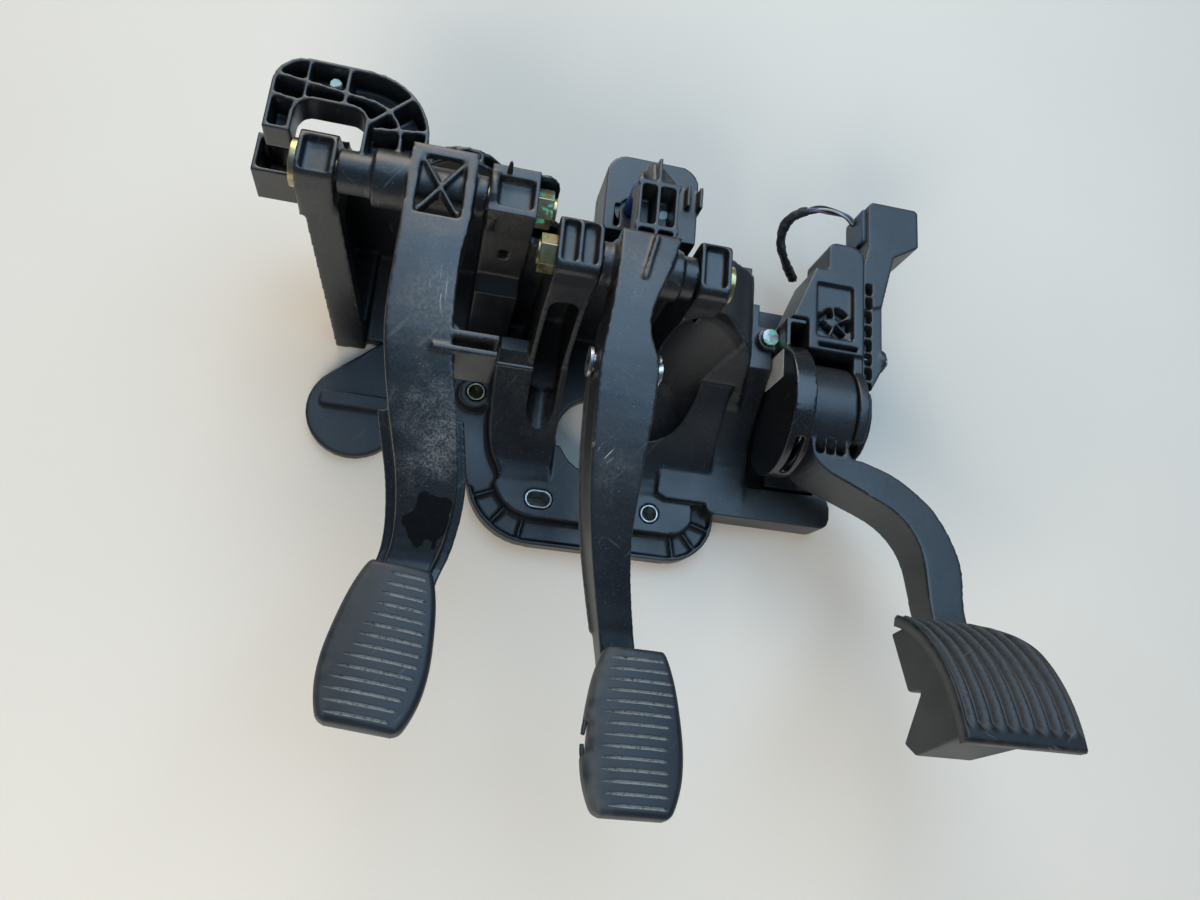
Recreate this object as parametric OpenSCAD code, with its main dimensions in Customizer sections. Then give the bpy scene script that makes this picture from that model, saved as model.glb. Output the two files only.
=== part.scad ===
// Pedal box: clutch, brake and throttle pedals on one moulded carrier.
// The firewall face is Z = 0, the driver is at +Z, the car's roof at +Y, the throttle side at +X.
// The origin is the round stud sleeve's axis on the firewall face.

/* [Firewall fixing] */
// Bore of the stud sleeves
stud_bore = 8.4; // [6.4:0.1:9]
// Outside diameter of the stud sleeves
sleeve_od = 11; // [10.4:0.1:14]
// Distance from the round sleeve to the slotted sleeve
stud_spacing = 67; // [62:1:72]
// Extra length of the slotted sleeve
slot_extra = 5; // [2:0.5:8]
// Length of the stud sleeves, which is the clamped thickness
sleeve_h = 18; // [15:1:22]
// Thickness of the flange plate
flange_t = 8; // [4:0.5:10]
// Height of the flange's outer rim
rim_h = 12; // [10:1:14]
// Thickness of the carrier's walls and ribs
wall = 2.5; // [1.8:0.1:3.2]
// Radius of the brake push-rod hole
pushrod_hole_r = 26; // [22:1:28]
// Height of the push-rod hole's centre above the sleeves
pushrod_y = 45; // [43:1:47]

/* [Pivots] */
// Height of the clutch and brake pivots above the firewall
pivot_z = 130; // [124:1:138]
// Clutch pivot above the sleeves
clutch_pivot_y = 121; // [117:1:125]
// Brake pivot above the sleeves
brake_pivot_y = 97; // [94:1:100]
// Diameter of the pivot bolts' shank
bolt_d = 12; // [10:0.5:13]
// Wall of the hub bushes
bush_wall = 2; // [1.5:0.1:2.5]
// Outside diameter of the pedal hubs
hub_od = 24; // [22:0.5:26]
// Width across the flats of the bolt heads and nuts
hex_af = 17; // [15:1:18]

/* [Carrier cheeks] */
// Inner face of the clutch's left leg
clutch_left_x = -194; // [-198:1:-190]
// Inner face of the clutch's right column
clutch_right_x = -121; // [-123:1:-119]
// Inner face of the brake's left cheek
brake_left_x = -63; // [-65:1:-61]
// Inner face of the brake's right cheek
brake_right_x = -13; // [-15:1:-11]
// Width of the clutch's left leg
leg_w = 18; // [15:1:20]
// Width of the clutch's right column
column_w = 24; // [21:1:26]
// Width of the brake's left cheek
left_cheek_w = 22; // [19:1:23]
// Width of the brake's right cheek
right_cheek_w = 16; // [14:1:18]
// Height of the cheeks above their pivot
cheek_rise = 12; // [11:1:15]

/* [Pedal arms] */
// Centre of the clutch arm's head
clutch_x = -144; // [-147:1:-142]
// Width of the clutch arm's head
clutch_head_w = 32; // [28:1:35]
// Sideways bow of the clutch arm
clutch_bow = 13; // [8:1:16]
// Distance from the clutch pivot to its pad's centre
clutch_reach = 220; // [208:1:230]
// Width of the brake arm's head
brake_head_w = 31; // [28:1:33]
// Width of the brake arm's waist
brake_waist_w = 20; // [17:1:24]
// Distance from the brake pivot to its pad's centre
brake_reach = 222; // [210:1:230]
// Thickness of the pedal arms' walls
arm_wall = 3; // [2.4:0.2:3.6]
// Depth of the pedal arms at the pad
arm_depth = 15; // [12:1:18]
// Width of the hook's opening
hook_gap = 33; // [28:1:36]
// Depth of the hook along the firewall's normal
hook_depth = 16; // [13:1:18]
// Thickness of the ribs in the hook and the heads
rib = 2.2; // [1.6:0.1:3]

/* [Pads] */
// Greatest width of the clutch and brake pads
pad_w = 46; // [42:1:52]
// Length of the clutch and brake pads
pad_l = 73; // [68:1:78]
// Thickness of the rubber pads
pad_t = 10; // [8:0.5:12]
// Tilt of the clutch and brake pads
pad_tilt = 14; // [8:1:18]
// Turn of the clutch pad in its own plane
clutch_cant = 6; // [0:1:9]
// Number of grooves across a pad
pad_grooves = 13; // [9:1:15]

/* [Throttle] */
// Throttle pivot above the sleeves
throttle_y = 62; // [60:1:64]
// Throttle pivot above the firewall
throttle_z = 58; // [55:1:61]
// Left face of the throttle's drum
drum_x = 71; // [69:1:73]
// Width of the throttle's drum
drum_w = 28; // [26:1:31]
// Radius of the throttle's drum
drum_r = 30; // [28:1:32]
// Diameter of the throttle's pivot pin
throttle_pin_d = 10; // [8:0.5:11]
// Width of the throttle pad
throttle_pad_w = 60; // [54:1:66]
// Length of the throttle pad along its slope
throttle_pad_l = 84; // [76:1:90]
// Thickness of the throttle pad's plate
throttle_pad_t = 5; // [4:0.5:6]
// Slope of the throttle pad
throttle_tilt = 45; // [40:1:50]
// Wall thickness of the throttle's housing
housing_wall = 3; // [2:0.5:4]

/* [Fits] */
// Radial clearance of a pedal on its pivot
run_gap = 0.05; // [0.02:0.01:0.1]
// Clearance between a moving piece and what it passes
side_gap = 0.6; // [0.4:0.1:1]
// Clearance of a pressed or clipped seat
seat_gap = 0.05; // [0.03:0.01:0.1]

/* [Hidden] */
$fn = 48;
black = [0.13, 0.14, 0.16];
soft_black = [0.09, 0.09, 0.10];
zinc = [0.75, 0.66, 0.35];
steel = [0.70, 0.71, 0.73];
big = 400;

// Shared pivots and fits
bush_id = bolt_d + 2 * run_gap;
bush_od = bush_id + 2 * bush_wall;
hub_bore = bush_od + 2 * seat_gap;
bolt_hole = bolt_d + 2 * seat_gap;
nut_t = 8;
head_flange_t = 3;
head_flange_d = hex_af + 3;
hole_x = -stud_spacing / 2;
slot_x = -stud_spacing;
sleeve_seat = sleeve_od + 2 * seat_gap;
side_sleeve_at = [slot_x - 44, 60];

// Points on an arc about c from angle a0 to a1.
function arc(c, r, a0, a1, n = 8) =
    [for (i = [0:n]) c + r * [cos(a0 + (a1 - a0) * i / n), sin(a0 + (a1 - a0) * i / n)]];
function reversed(p) = [for (i = [len(p) - 1:-1:0]) p[i]];
function clamped(p, i) = p[max(0, min(len(p) - 1, i))];
// One point of the smooth curve between b and c, with a and d as its neighbours.
function curve_point(a, b, c, d, t) =
    (2 * b + (c - a) * t + (2 * a - 5 * b + 4 * c - d) * t * t + (3 * b - a - 3 * c + d) * t * t * t) / 2;
// Smooth curve through the points p, with n steps between two points.
function curve(p, n = 4) = concat(
    [for (i = [0:len(p) - 2], k = [0:n - 1])
        curve_point(clamped(p, i - 1), p[i], p[i + 1], clamped(p, i + 2), k / n)],
    [p[len(p) - 1]]);
// Closed outline of a bar from stations [y, centre, width], narrowed by inset on each side.
function bar_outline(s, inset = 0) = concat(
    curve([for (i = s) [i[1] - i[2] / 2 + inset, i[0]]]),
    reversed(curve([for (i = s) [i[1] + i[2] / 2 - inset, i[0]]])));
// Closed side view of a bar from stations [y, top, depth], with its top lowered by drop.
function bar_side(s, drop = 0, extra = 0) = concat(
    curve([for (i = s) [i[0], i[1] - drop]]),
    reversed(curve([for (i = s) [i[0], i[1] - i[2] - extra]])));
// Side view of the lowest layer of a bar, t thick.
function bar_sole(s, t) = concat(
    curve([for (i = s) [i[0], i[1] - i[2] + t]]),
    reversed(curve([for (i = s) [i[0], i[1] - i[2]]])));

// Extrudes a Y-Z drawing along X.
module along_x(x0, x1) {
    translate([x0, 0, 0]) rotate([90, 0, 90]) linear_extrude(x1 - x0) children();
}
// Extrudes an X-Z drawing along Y.
module along_y(y0, y1) {
    translate([0, y1, 0]) rotate([90, 0, 0]) linear_extrude(y1 - y0) children();
}
// Extrudes an X-Y drawing along Z.
module along_z(z0, z1) {
    translate([0, 0, z0]) linear_extrude(z1 - z0) children();
}
// Shaft along X about the point [y, z].
module shaft(x0, x1, y, z, d) {
    translate([x0, y, z]) rotate([0, 90, 0]) cylinder(d = d, h = x1 - x0);
}
// Straight rib from a to b in the X-Y plane.
module rib_line(a, b, t) {
    d = b - a;
    n = [-d[1], d[0]] / norm(d) * t / 2;
    polygon([a + n, b + n, b - n, a - n]);
}
// Rib that follows the path p in the X-Y plane.
module rib_path(p, t) {
    for (i = [0:len(p) - 2]) rib_line(p[i], p[i + 1], t);
}
module rounded_box(x0, x1, y0, y1, z0, z1, r) {
    along_z(z0, z1) polygon(concat(
        arc([x1 - r, y1 - r], r, 0, 90, 4), arc([x0 + r, y1 - r], r, 90, 180, 4),
        arc([x0 + r, y0 + r], r, 180, 270, 4), arc([x1 - r, y0 + r], r, 270, 360, 4)));
}
// Hexagon along X, with its flats hex_af apart.
module hexagon(x0, x1, y, z) {
    translate([x0, y, z]) rotate([0, 90, 0]) cylinder(d = hex_af / cos(30), h = x1 - x0, $fn = 6);
}

// Carrier: places of its walls
leg_left = clutch_left_x - leg_w;
column_right = clutch_right_x + column_w;
cheek_left = brake_left_x - left_cheek_w;
cheek_right = brake_right_x + right_cheek_w;
cheek_top = pivot_z + cheek_rise;
cheek_front = 13;
cheek_back = 17;
leg_lean = 6.6;
leg_back = 25;
clutch_back_y = clutch_pivot_y + leg_back + 1;
brake_back_y = brake_pivot_y + cheek_back;
flank_right = cheek_right + 42;
cover_left = drum_x - 13;
block_right = cover_left - 1;
block_h = 62;
base_y0 = 4;
base_y1 = throttle_y - drum_r - 8;
base_h = 22;
base_right = drum_x + drum_w + 14;
module_z = 14;
lobe_left = [slot_x - 3, 14];
lobe_right = [13, 3];
lobe_left_r = 40;
lobe_right_r = 29;
rim_band = 15;
back_wall_t = 5;
shelf_t = 8;
column_front = clutch_pivot_y - 13;
ledge_z = 72;
ledge_w = 10;
guard_y = clutch_pivot_y + hex_af / 2 + 3;
back_arch_x = clutch_right_x - 13;
back_arch_z = pivot_z - 26;
back_arch_out = 4;
back_arch_r = 22;
hollow_z = 30;
scoop_r = 22;
scoop_back = brake_pivot_y - 7;
scoop_top = [cheek_right + 3, brake_pivot_y - 25, pivot_z - 30];
scoop_foot = [cheek_right - 14, brake_pivot_y - 39, pivot_z - 86];

// Front edge of the flange from its left lobe to its right lobe, moved inwards by i.
function flange_front(i) = concat(
    arc(lobe_left, lobe_left_r - i, 195, 270, 8),
    arc(lobe_right, lobe_right_r - i, 270, 375, 10));
function flange_outline() = concat(flange_front(0),
    [[block_right, 20], [block_right, brake_back_y + 12], [cheek_left, clutch_back_y],
     [clutch_left_x + 6, clutch_back_y], [clutch_left_x + 6, clutch_pivot_y - 35],
     [side_sleeve_at[0] - 14, clutch_pivot_y - 35], [side_sleeve_at[0] - 14, side_sleeve_at[1] - 10]]);

module flange() {
    along_z(0, flange_t) polygon(flange_outline());
    along_z(0, rim_h) polygon(concat(flange_front(0), reversed(flange_front(wall))));
    along_z(0, sleeve_h) polygon(concat(flange_front(rim_band), [[lobe_right[0], 34], [lobe_left[0], 34]]));
    outer = flange_front(wall / 2);
    inner = flange_front(rim_band + wall);
    along_z(0, rim_h - 1) for (k = [1:3:len(outer) - 2]) rib_line(outer[k], inner[k], wall - 0.5);
    translate([side_sleeve_at[0], side_sleeve_at[1], 0]) cylinder(d = sleeve_od + 9, h = sleeve_h);
}

// Concave slope from the sleeve wells up to a cheek.
module apron(x0, x1, y_top, z_top) {
    along_x(x0, x1) polygon(concat(
        curve([[9, sleeve_h], [26, sleeve_h + 4], [46, sleeve_h + 18], [y_top, z_top]]),
        [[y_top + 8, z_top], [y_top + 8, 0], [9, 0]]));
}
// Left apron, which narrows towards the slotted sleeve.
module left_apron() {
    x0 = lobe_left[0] - 33;
    intersection() {
        apron(x0, brake_left_x + 1, 74, 56);
        along_z(0, big) polygon(concat([[brake_left_x + 1, 0], [lobe_left[0] - 20, 0]],
            curve([[lobe_left[0] - 22, 14], [lobe_left[0] - 29, 28], [x0 + 1, 48], [x0, 84]]),
            [[brake_left_x + 1, 84]]));
    }
}

// Brake cheek between x0 and x1, whose back stands at y_back.
module brake_cheek(x0, x1, y_back) {
    along_x(x0, x1) polygon(concat(
        curve([[44, flange_t], [66, 44], [brake_pivot_y - cheek_front - 4, 90],
               [brake_pivot_y - cheek_front, pivot_z - 4]]),
        arc([brake_pivot_y - cheek_front + 5, cheek_top - 5], 5, 180, 90, 4),
        arc([y_back - 4, cheek_top - 4], 4, 90, 0, 4), [[y_back, flange_t]]));
}

// Bulged flank to the right of the brake's right cheek, which falls away towards the throttle.
module cheek_flank() {
    top = pivot_z - head_flange_d / 2 - 1.5;
    intersection() {
        brake_cheek(cheek_right - 1, flank_right + 1, brake_back_y + 12);
        along_y(0, big) polygon(concat([[cheek_right - 2, 0]], [[cheek_right - 2, top]],
            curve([[cheek_right + 1, top - 1], [cheek_right + 13, pivot_z - 23],
                   [flank_right - 13, pivot_z - 36], [flank_right - 5, block_h + 4], [flank_right, 40]]),
            [[flank_right, 0]]));
    }
}

// Side view of the wall beside the throttle, up to y_back and moved inwards by i.
function block_profile(y_back, i) = concat([[base_y1 - 14 + i, -i]],
    curve([[base_y1 - 14 + i, base_h - i], [base_y1 + 10, base_h + 2 - i], [54, base_h + 10 - i],
           [brake_pivot_y - 25 + i, block_h - 14 - i], [brake_pivot_y - 12 + i, block_h - i]]),
    [[y_back - i, block_h - i], [y_back - i, -i]]);

// Upright wall between the brake's right cheek and the throttle, stepped down towards the throttle.
module throttle_wall() {
    along_x(cheek_right, block_right - 9) polygon(block_profile(brake_back_y + 12, 0));
    along_x(block_right - 10, block_right) polygon(block_profile(brake_back_y - 2, 0));
}

module base_box() {
    rounded_box(lobe_right[0] + 20, base_right, base_y0, base_y1, 0, base_h, 6);
    rounded_box(block_right - 1, base_right, base_y0 + 4, clutch_back_y, 0, module_z, 6);
}

module clutch_leg() {
    translate([clutch_left_x, clutch_pivot_y, pivot_z]) rotate([0, -leg_lean, 0])
        difference() {
            along_x(-leg_w, 0) polygon([[-40, -pivot_z * 0.99], [-12, -12], [leg_back, -12],
                [leg_back, -pivot_z * 0.99]]);
            along_x(-leg_w + wall, 1) polygon([[-28, -pivot_z * 0.9], [-8, -28], [leg_back - 5, -28],
                [leg_back - 3, -pivot_z * 0.9]]);
        }
    along_x(leg_left, clutch_left_x) polygon(concat(
        [[clutch_pivot_y - 14, pivot_z - 24], [clutch_pivot_y - 13, pivot_z]],
        arc([clutch_pivot_y - 6, cheek_top - 6], 6, 160, 90, 3),
        arc([clutch_pivot_y + 8, cheek_top - 6], 6, 90, 0, 3),
        [[clutch_pivot_y + leg_back - 1, pivot_z - 24]]));
}

module clutch_column() {
    along_x(clutch_right_x, column_right) polygon([[column_front, ledge_z + 5],
        [column_front, cheek_top], [clutch_pivot_y + 13, cheek_top], [clutch_back_y, 60],
        [clutch_back_y, 0], [column_front - ledge_w, 0], [column_front - ledge_w, ledge_z]]);
    shaft(clutch_right_x, clutch_right_x + 4, clutch_pivot_y, pivot_z, 2 * cheek_rise + 6);
    // Wall from the column to the brake's left cheek, and the round guard behind the nut
    along_y(brake_back_y - wall, brake_back_y + wall)
        polygon([[column_right - 2, 0], [column_right - 2, pivot_z - 20], [cheek_left + 2, pivot_z - 20],
            [cheek_left + 2, 0]]);
    along_y(guard_y, guard_y + wall) polygon(concat(
        [[column_right - 2, 60], [column_right - 2, cheek_top - 4]],
        arc([column_right + 1, pivot_z], 10, 75, 0, 6), [[column_right + 13, 60]]));
}

// Wall that stands behind the clutch arm and ties its leg to its column.
module clutch_back_wall() {
    along_y(clutch_back_y - back_wall_t, clutch_back_y) polygon(
        [[leg_left + 22, 0], [clutch_left_x, clutch_stop_z], [column_right - 4, clutch_stop_z],
         [brake_left_x, shelf_z - shelf_t], [block_right - 16, shelf_z - shelf_t], [block_right - 16, 0]]);
    translate([clutch_stop_x, clutch_stop_y, clutch_stop_z - stop_d])
        cylinder(d = stop_d + 4, h = stop_d);
}
// Arch behind the clutch arm's head, with a row of cells that open to the driver.
module head_arch() {
    c = [back_arch_x, back_arch_z];
    y0 = clutch_back_y - back_wall_t;
    y1 = clutch_back_y + back_arch_out;
    difference() {
        along_y(y0, y1) polygon(concat(arc(c, back_arch_r, 165, 15, 10),
            [[back_arch_x + 12, clutch_stop_z - 3], [back_arch_x - 13, clutch_stop_z - 3]]));
        along_y(y0 + wall, y1 - wall) difference() {
            polygon(concat(arc(c, back_arch_r + 1, 150, 30, 8), arc(c, back_arch_r - 7, 30, 150, 8)));
            for (a = [70, 105]) rib_line(c, c + (back_arch_r + 2) * [cos(a), sin(a)], rib);
        }
    }
}

// Shelf behind the brake's cheeks that carries the switch and its cover.
module switch_shelf() {
    along_z(shelf_z - shelf_t, shelf_z) polygon(cover_outline(0));
    translate([cover_x0, brake_back_y - 2, shelf_z - shelf_t])
        cube([cover_x1 - cover_x0, cover_y0 - brake_back_y + 4, shelf_t]);
}

// Hollow cells of the carrier, open towards the firewall.
module cores() {
    along_x(flank_right - 26, block_right - 9 - wall) difference() {
        polygon(block_profile(brake_back_y + 12, wall));
        translate([brake_pivot_y - 30, -1]) square([wall, block_h]);
    }
    cell = (base_right - block_right - wall) / 2 - wall;
    for (i = [0, 1], k = [0:2])
        translate([block_right + wall + i * (cell + wall), base_y0 + 8 + k * 44, -1])
            cube([cell, 41, module_z - wall + 1]);
    along_x(clutch_right_x + wall, column_right - wall) polygon([[column_front - ledge_w + wall, -1],
        [column_front - ledge_w + wall, ledge_z - wall], [column_front + wall, ledge_z + 4],
        [column_front + wall, 90], [clutch_pivot_y + 11, 90], [clutch_back_y - back_wall_t - wall, 58],
        [clutch_back_y - back_wall_t - wall, -1]]);
    along_x(cheek_left + wall, brake_left_x - wall) {
        polygon([[62, hollow_z], [brake_pivot_y - cheek_front + wall, 88],
            [brake_pivot_y - cheek_front + wall, 108], [brake_back_y - back_wall_t, 108],
            [brake_back_y - back_wall_t, hollow_z]]);
        polygon([[62, -1], [62, hollow_z - wall], [brake_back_y - back_wall_t, hollow_z - wall],
            [brake_back_y - back_wall_t, -1]]);
    }
    along_x(brake_right_x + wall, cheek_right - wall) polygon([[scoop_back + wall, -1],
        [scoop_back + wall, 104], [brake_back_y - back_wall_t, 104], [brake_back_y - back_wall_t, -1]]);
    // Arched front of the left cheek
    r = left_cheek_w / 2 - wall - 0.6;
    x = (cheek_left + brake_left_x) / 2;
    along_y(30, brake_pivot_y) polygon(concat(arc([x, pivot_z - 30], r, 0, 180, 10),
        arc([x, hollow_z + r], r, 180, 360, 10)));
    // Round hollow beside the push rod
    d = scoop_top - scoop_foot;
    translate(scoop_foot) rotate([0, 0, atan2(d[1], d[0])]) rotate([0, acos(d[2] / norm(d)), 0])
        rotate_extrude()
            polygon(concat(arc([0, 0], scoop_r, -90, 0, 6), arc([0, norm(d)], scoop_r, 0, 90, 6)));
}

// Open square box outside the clutch leg.
box_size = [24, 22, 27];
module stop_box() {
    x0 = leg_left - 29;
    y0 = clutch_pivot_y + 10;
    z0 = pivot_z - 57;
    difference() {
        translate([x0, y0, z0]) cube([leg_left - x0 + 8, box_size[1], box_size[2]]);
        translate([x0 + wall, y0 + wall, z0 + wall])
            cube([box_size[0] - 2 * wall, box_size[1] - 2 * wall, box_size[2]]);
        translate([x0 + box_size[0] - 14, y0 + box_size[1] - 13, z0 - 1]) cube([9, 8, box_size[2]]);
    }
}

// Pockets cored into the top of a cheek, side by side along X.
module top_pockets(x0, x1, y0, y1, count, depth) {
    step = (x1 - x0 - wall) / count;
    for (i = [0:count - 1])
        translate([x0 + wall + i * step, y0, cheek_top - depth]) cube([step - wall, y1 - y0, depth + 1]);
}

module carrier() {
    color(black) difference() {
        union() {
            flange();
            left_apron();
            apron(brake_right_x - 1, lobe_right[0] + 21, 70, 60);
            brake_cheek(cheek_left, brake_left_x, brake_back_y);
            brake_cheek(brake_right_x, cheek_right, brake_back_y);
            cheek_flank();
            throttle_wall();
            base_box();
            clutch_leg();
            clutch_column();
            clutch_back_wall();
            head_arch();
            stop_box();
            switch_shelf();
            along_y(brake_back_y - back_wall_t, brake_back_y)
                polygon([[cheek_left, 0], [cheek_left, 100], [cheek_right, 100], [cheek_right, 0]]);
        }
        cores();
        translate([lug_at[0], lug_at[1], block_h - 13]) cylinder(d = screw_d + 2 * seat_gap, h = 20);
        // Sleeve seats and the wells above them
        for (x = [0, slot_x]) translate([x, 0, sleeve_h]) cylinder(r = sleeve_od / 2 + 7, h = big);
        translate([0, 0, -1]) cylinder(d = sleeve_seat, h = big);
        for (s = [-1, 1]) translate([slot_x + s * slot_extra / 2, 0, -1]) cylinder(d = sleeve_seat, h = big);
        translate([slot_x - slot_extra / 2, -sleeve_seat / 2, -1]) cube([slot_extra, sleeve_seat, big]);
        translate([side_sleeve_at[0], side_sleeve_at[1], -1]) cylinder(d = sleeve_seat, h = sleeve_h + 2);
        translate([side_sleeve_at[0], side_sleeve_at[1], sleeve_h]) cylinder(d = sleeve_od + 6, h = big);
        translate([hole_x, pushrod_y, -1]) cylinder(r = pushrod_hole_r, h = big, $fn = 96);
        // Room for the brake arm's hub between its cheeks
        shaft(brake_left_x, brake_right_x, brake_pivot_y, pivot_z, hub_od + 8);
        // Pivot bolt holes
        shaft(leg_left - 1, column_right + 1, clutch_pivot_y, pivot_z, bolt_hole);
        shaft(cheek_left - 1, cheek_right + 1, brake_pivot_y, pivot_z, bolt_hole);
        // Cored tops
        top_pockets(leg_left, clutch_left_x, clutch_pivot_y - 9, clutch_pivot_y + 9, 1, 5);
        top_pockets(clutch_right_x + 2, column_right, clutch_pivot_y - 9, clutch_pivot_y + 7, 1, 5);
        top_pockets(cheek_left, brake_left_x, brake_pivot_y - 8, brake_back_y - wall, 2, 5);
        top_pockets(brake_right_x, cheek_right, brake_pivot_y - 8, brake_back_y - wall, 1, 5);
        // Oval hole in the front of the clutch column
        for (z = [-2, 2])
            translate([clutch_right_x + column_w / 2, column_front - 1, pivot_z - 30 + z])
                rotate([-90, 0, 0]) cylinder(d = 5, h = 9);
    }
}

// Outline of a slot, extra longer than it is wide.
module slot_outline(d, extra) {
    for (s = [-1, 1]) translate([s * extra / 2, 0]) circle(d = d);
    square([extra, d], center = true);
}
module sleeve_tube(extra) {
    difference() {
        linear_extrude(sleeve_h) slot_outline(sleeve_od, extra);
        translate([0, 0, -1]) linear_extrude(sleeve_h + 2) slot_outline(stud_bore, extra);
    }
}
module round_tube() {
    difference() {
        cylinder(d = sleeve_od, h = sleeve_h);
        translate([0, 0, -1]) cylinder(d = stud_bore, h = sleeve_h + 2);
    }
}
module round_sleeve() {
    color(steel) round_tube();
}
module slot_sleeve() {
    color(steel) translate([slot_x, 0, 0]) sleeve_tube(slot_extra);
}
module side_sleeve() {
    color(zinc) translate([side_sleeve_at[0], side_sleeve_at[1], 0]) round_tube();
}

// Flat teardrop foot beside the flange, with a stiffening bar.
foot_r = 28;
foot_t = 7;
module outrigger_foot() {
    c = [clutch_left_x + 15, 41];
    top = clutch_pivot_y - 35;
    color(soft_black) {
        along_z(0, foot_t) polygon(concat(arc(c, foot_r, 130, 330, 16),
            [[c[0] + 30, top], [c[0] + 9, top]]));
        rounded_box(c[0] - 20, c[0] + 20, c[1], c[1] + 9, 0, foot_t + 5, 3);
    }
}

module pivot_bolt(x0, x1, y) {
    shaft(x0, x1, y, pivot_z, bolt_d);
}
module clutch_pivot_bolt() {
    color(zinc) {
        pivot_bolt(leg_left - head_flange_t, column_right + nut_t + 2, clutch_pivot_y);
        shaft(leg_left - head_flange_t, leg_left, clutch_pivot_y, pivot_z, hex_af + 6);
    }
}
module clutch_pivot_nut() {
    color(zinc) difference() {
        hexagon(column_right, column_right + nut_t, clutch_pivot_y, pivot_z);
        shaft(column_right - 1, column_right + nut_t + 1, clutch_pivot_y, pivot_z, bolt_hole);
    }
}
module brake_pivot_bolt() {
    color(zinc) {
        pivot_bolt(cheek_left - nut_t - 1, cheek_right + head_flange_t, brake_pivot_y);
        shaft(cheek_right, cheek_right + head_flange_t, brake_pivot_y, pivot_z, head_flange_d);
    }
}
module brake_pivot_nut() {
    color(zinc) difference() {
        hexagon(cheek_left - nut_t, cheek_left, brake_pivot_y, pivot_z);
        shaft(cheek_left - nut_t - 1, cheek_left + 1, brake_pivot_y, pivot_z, bolt_hole);
    }
}

// Rubber-faced pads: their plane, outline and seat
pad_back_z = pivot_z - 12;
pad_recess = 3;
pad_plate_t = 4.5;
pad_skirt = 4;
pad_crown_r = 95;
clutch_pad_x = clutch_x + 4;
clutch_pad_y = clutch_pivot_y - clutch_reach;
brake_x = (brake_left_x + brake_right_x) / 2;
brake_pad_x = brake_x + 12;
brake_pad_y = brake_pivot_y - brake_reach;

// Half width of a pad at the share t of its length from the top edge, as a share of the full width.
pad_shape = [[0, 0.25], [0.03, 0.325], [0.2, 0.415], [0.42, 0.475], [0.62, 0.5], [0.8, 0.475],
    [0.96, 0.39], [1, 0.3]];
function pad_outline(inset) = concat(
    curve([for (s = pad_shape) [-pad_w * s[1] + inset, (0.5 - s[0]) * (pad_l - 2 * inset)]], 5),
    reversed(curve([for (s = pad_shape) [pad_w * s[1] - inset, (0.5 - s[0]) * (pad_l - 2 * inset)]], 5)));
// Height of an arm's top under its pad, just below the pad's back.
function under_pad(y, pad_y) = pad_back_z - 1.5 - (y - pad_y) * tan(pad_tilt);

module at_pad(x, y, cant) {
    translate([x, y, pad_back_z]) rotate([-pad_tilt, 0, 0]) rotate([0, 0, cant]) children();
}
module pad_plate() {
    translate([0, 0, pad_recess - pad_plate_t]) linear_extrude(pad_plate_t) polygon(pad_outline(pad_skirt));
}
module rubber_pad() {
    pitch = pad_l * 0.78 / pad_grooves;
    difference() {
        intersection() {
            linear_extrude(pad_t) polygon(pad_outline(0));
            translate([0, pad_l, pad_t - pad_crown_r]) rotate([90, 0, 0])
                cylinder(r = pad_crown_r, h = 2 * pad_l, $fn = 120);
        }
        translate([0, 0, -1]) linear_extrude(pad_recess + 1) polygon(pad_outline(pad_skirt - 0.3));
        for (i = [0:pad_grooves - 1])
            translate([-pad_w * 0.3, (i - (pad_grooves - 1) / 2) * pitch - 0.8, pad_t - 1.6])
                cube([pad_w * 0.6, 1.6, 3]);
    }
}

// Clutch arm
function clutch_at(f) = clutch_pivot_y - f * clutch_reach;
clutch_plan = [
    [clutch_pivot_y + 16, clutch_x, clutch_head_w], [clutch_at(0.1), clutch_x, clutch_head_w],
    [clutch_at(0.2), clutch_x - 1, clutch_head_w - 2], [clutch_at(0.36), clutch_x, clutch_head_w - 1],
    [clutch_at(0.51), clutch_x + clutch_bow * 0.5, clutch_head_w - 1],
    [clutch_at(0.65), clutch_x + clutch_bow, clutch_head_w - 4],
    [clutch_at(0.77), clutch_x + clutch_bow, clutch_head_w - 9],
    [clutch_at(0.87), clutch_x + clutch_bow * 0.6, clutch_head_w - 11],
    [clutch_at(1.04), clutch_pad_x, clutch_head_w - 9]
];
clutch_side = [
    [clutch_pivot_y + 16, pivot_z + 13, 25], [clutch_at(0.1), pivot_z + 15, 28],
    [clutch_at(0.2), pivot_z + 15, 28], [clutch_at(0.36), pivot_z + 11, 26],
    [clutch_at(0.51), pivot_z + 2, 24], [clutch_at(0.65), pivot_z - 9, 21],
    [clutch_at(0.77), pivot_z - 19, arm_depth + 2],
    [clutch_at(0.87), under_pad(clutch_at(0.87), clutch_pad_y), arm_depth],
    [clutch_at(1.04), under_pad(clutch_at(1.04), clutch_pad_y), arm_depth - 4]
];

// Channel-shaped arm from its plan and its side view, open towards the firewall.
module channel_arm(plan, side) {
    difference() {
        intersection() {
            along_z(0, big) polygon(bar_outline(plan));
            along_x(-big, big) polygon(bar_side(side));
        }
        intersection() {
            along_z(0, big) polygon(bar_outline(plan, arm_wall));
            along_x(-big, big) polygon(bar_side(side, arm_wall + 1, 5));
        }
    }
}
// Side flanges along the open edge of an arm between y0 and y1.
module arm_flanges(plan, side, y0, y1, out) {
    difference() {
        intersection() {
            along_z(0, big) polygon(bar_outline(plan, -out));
            along_x(-big, big) polygon(bar_sole(side, arm_wall));
            translate([-big, y0, 0]) cube([2 * big, y1 - y0, big]);
        }
        along_z(0, big) polygon(bar_outline(plan, arm_wall));
    }
}

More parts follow.
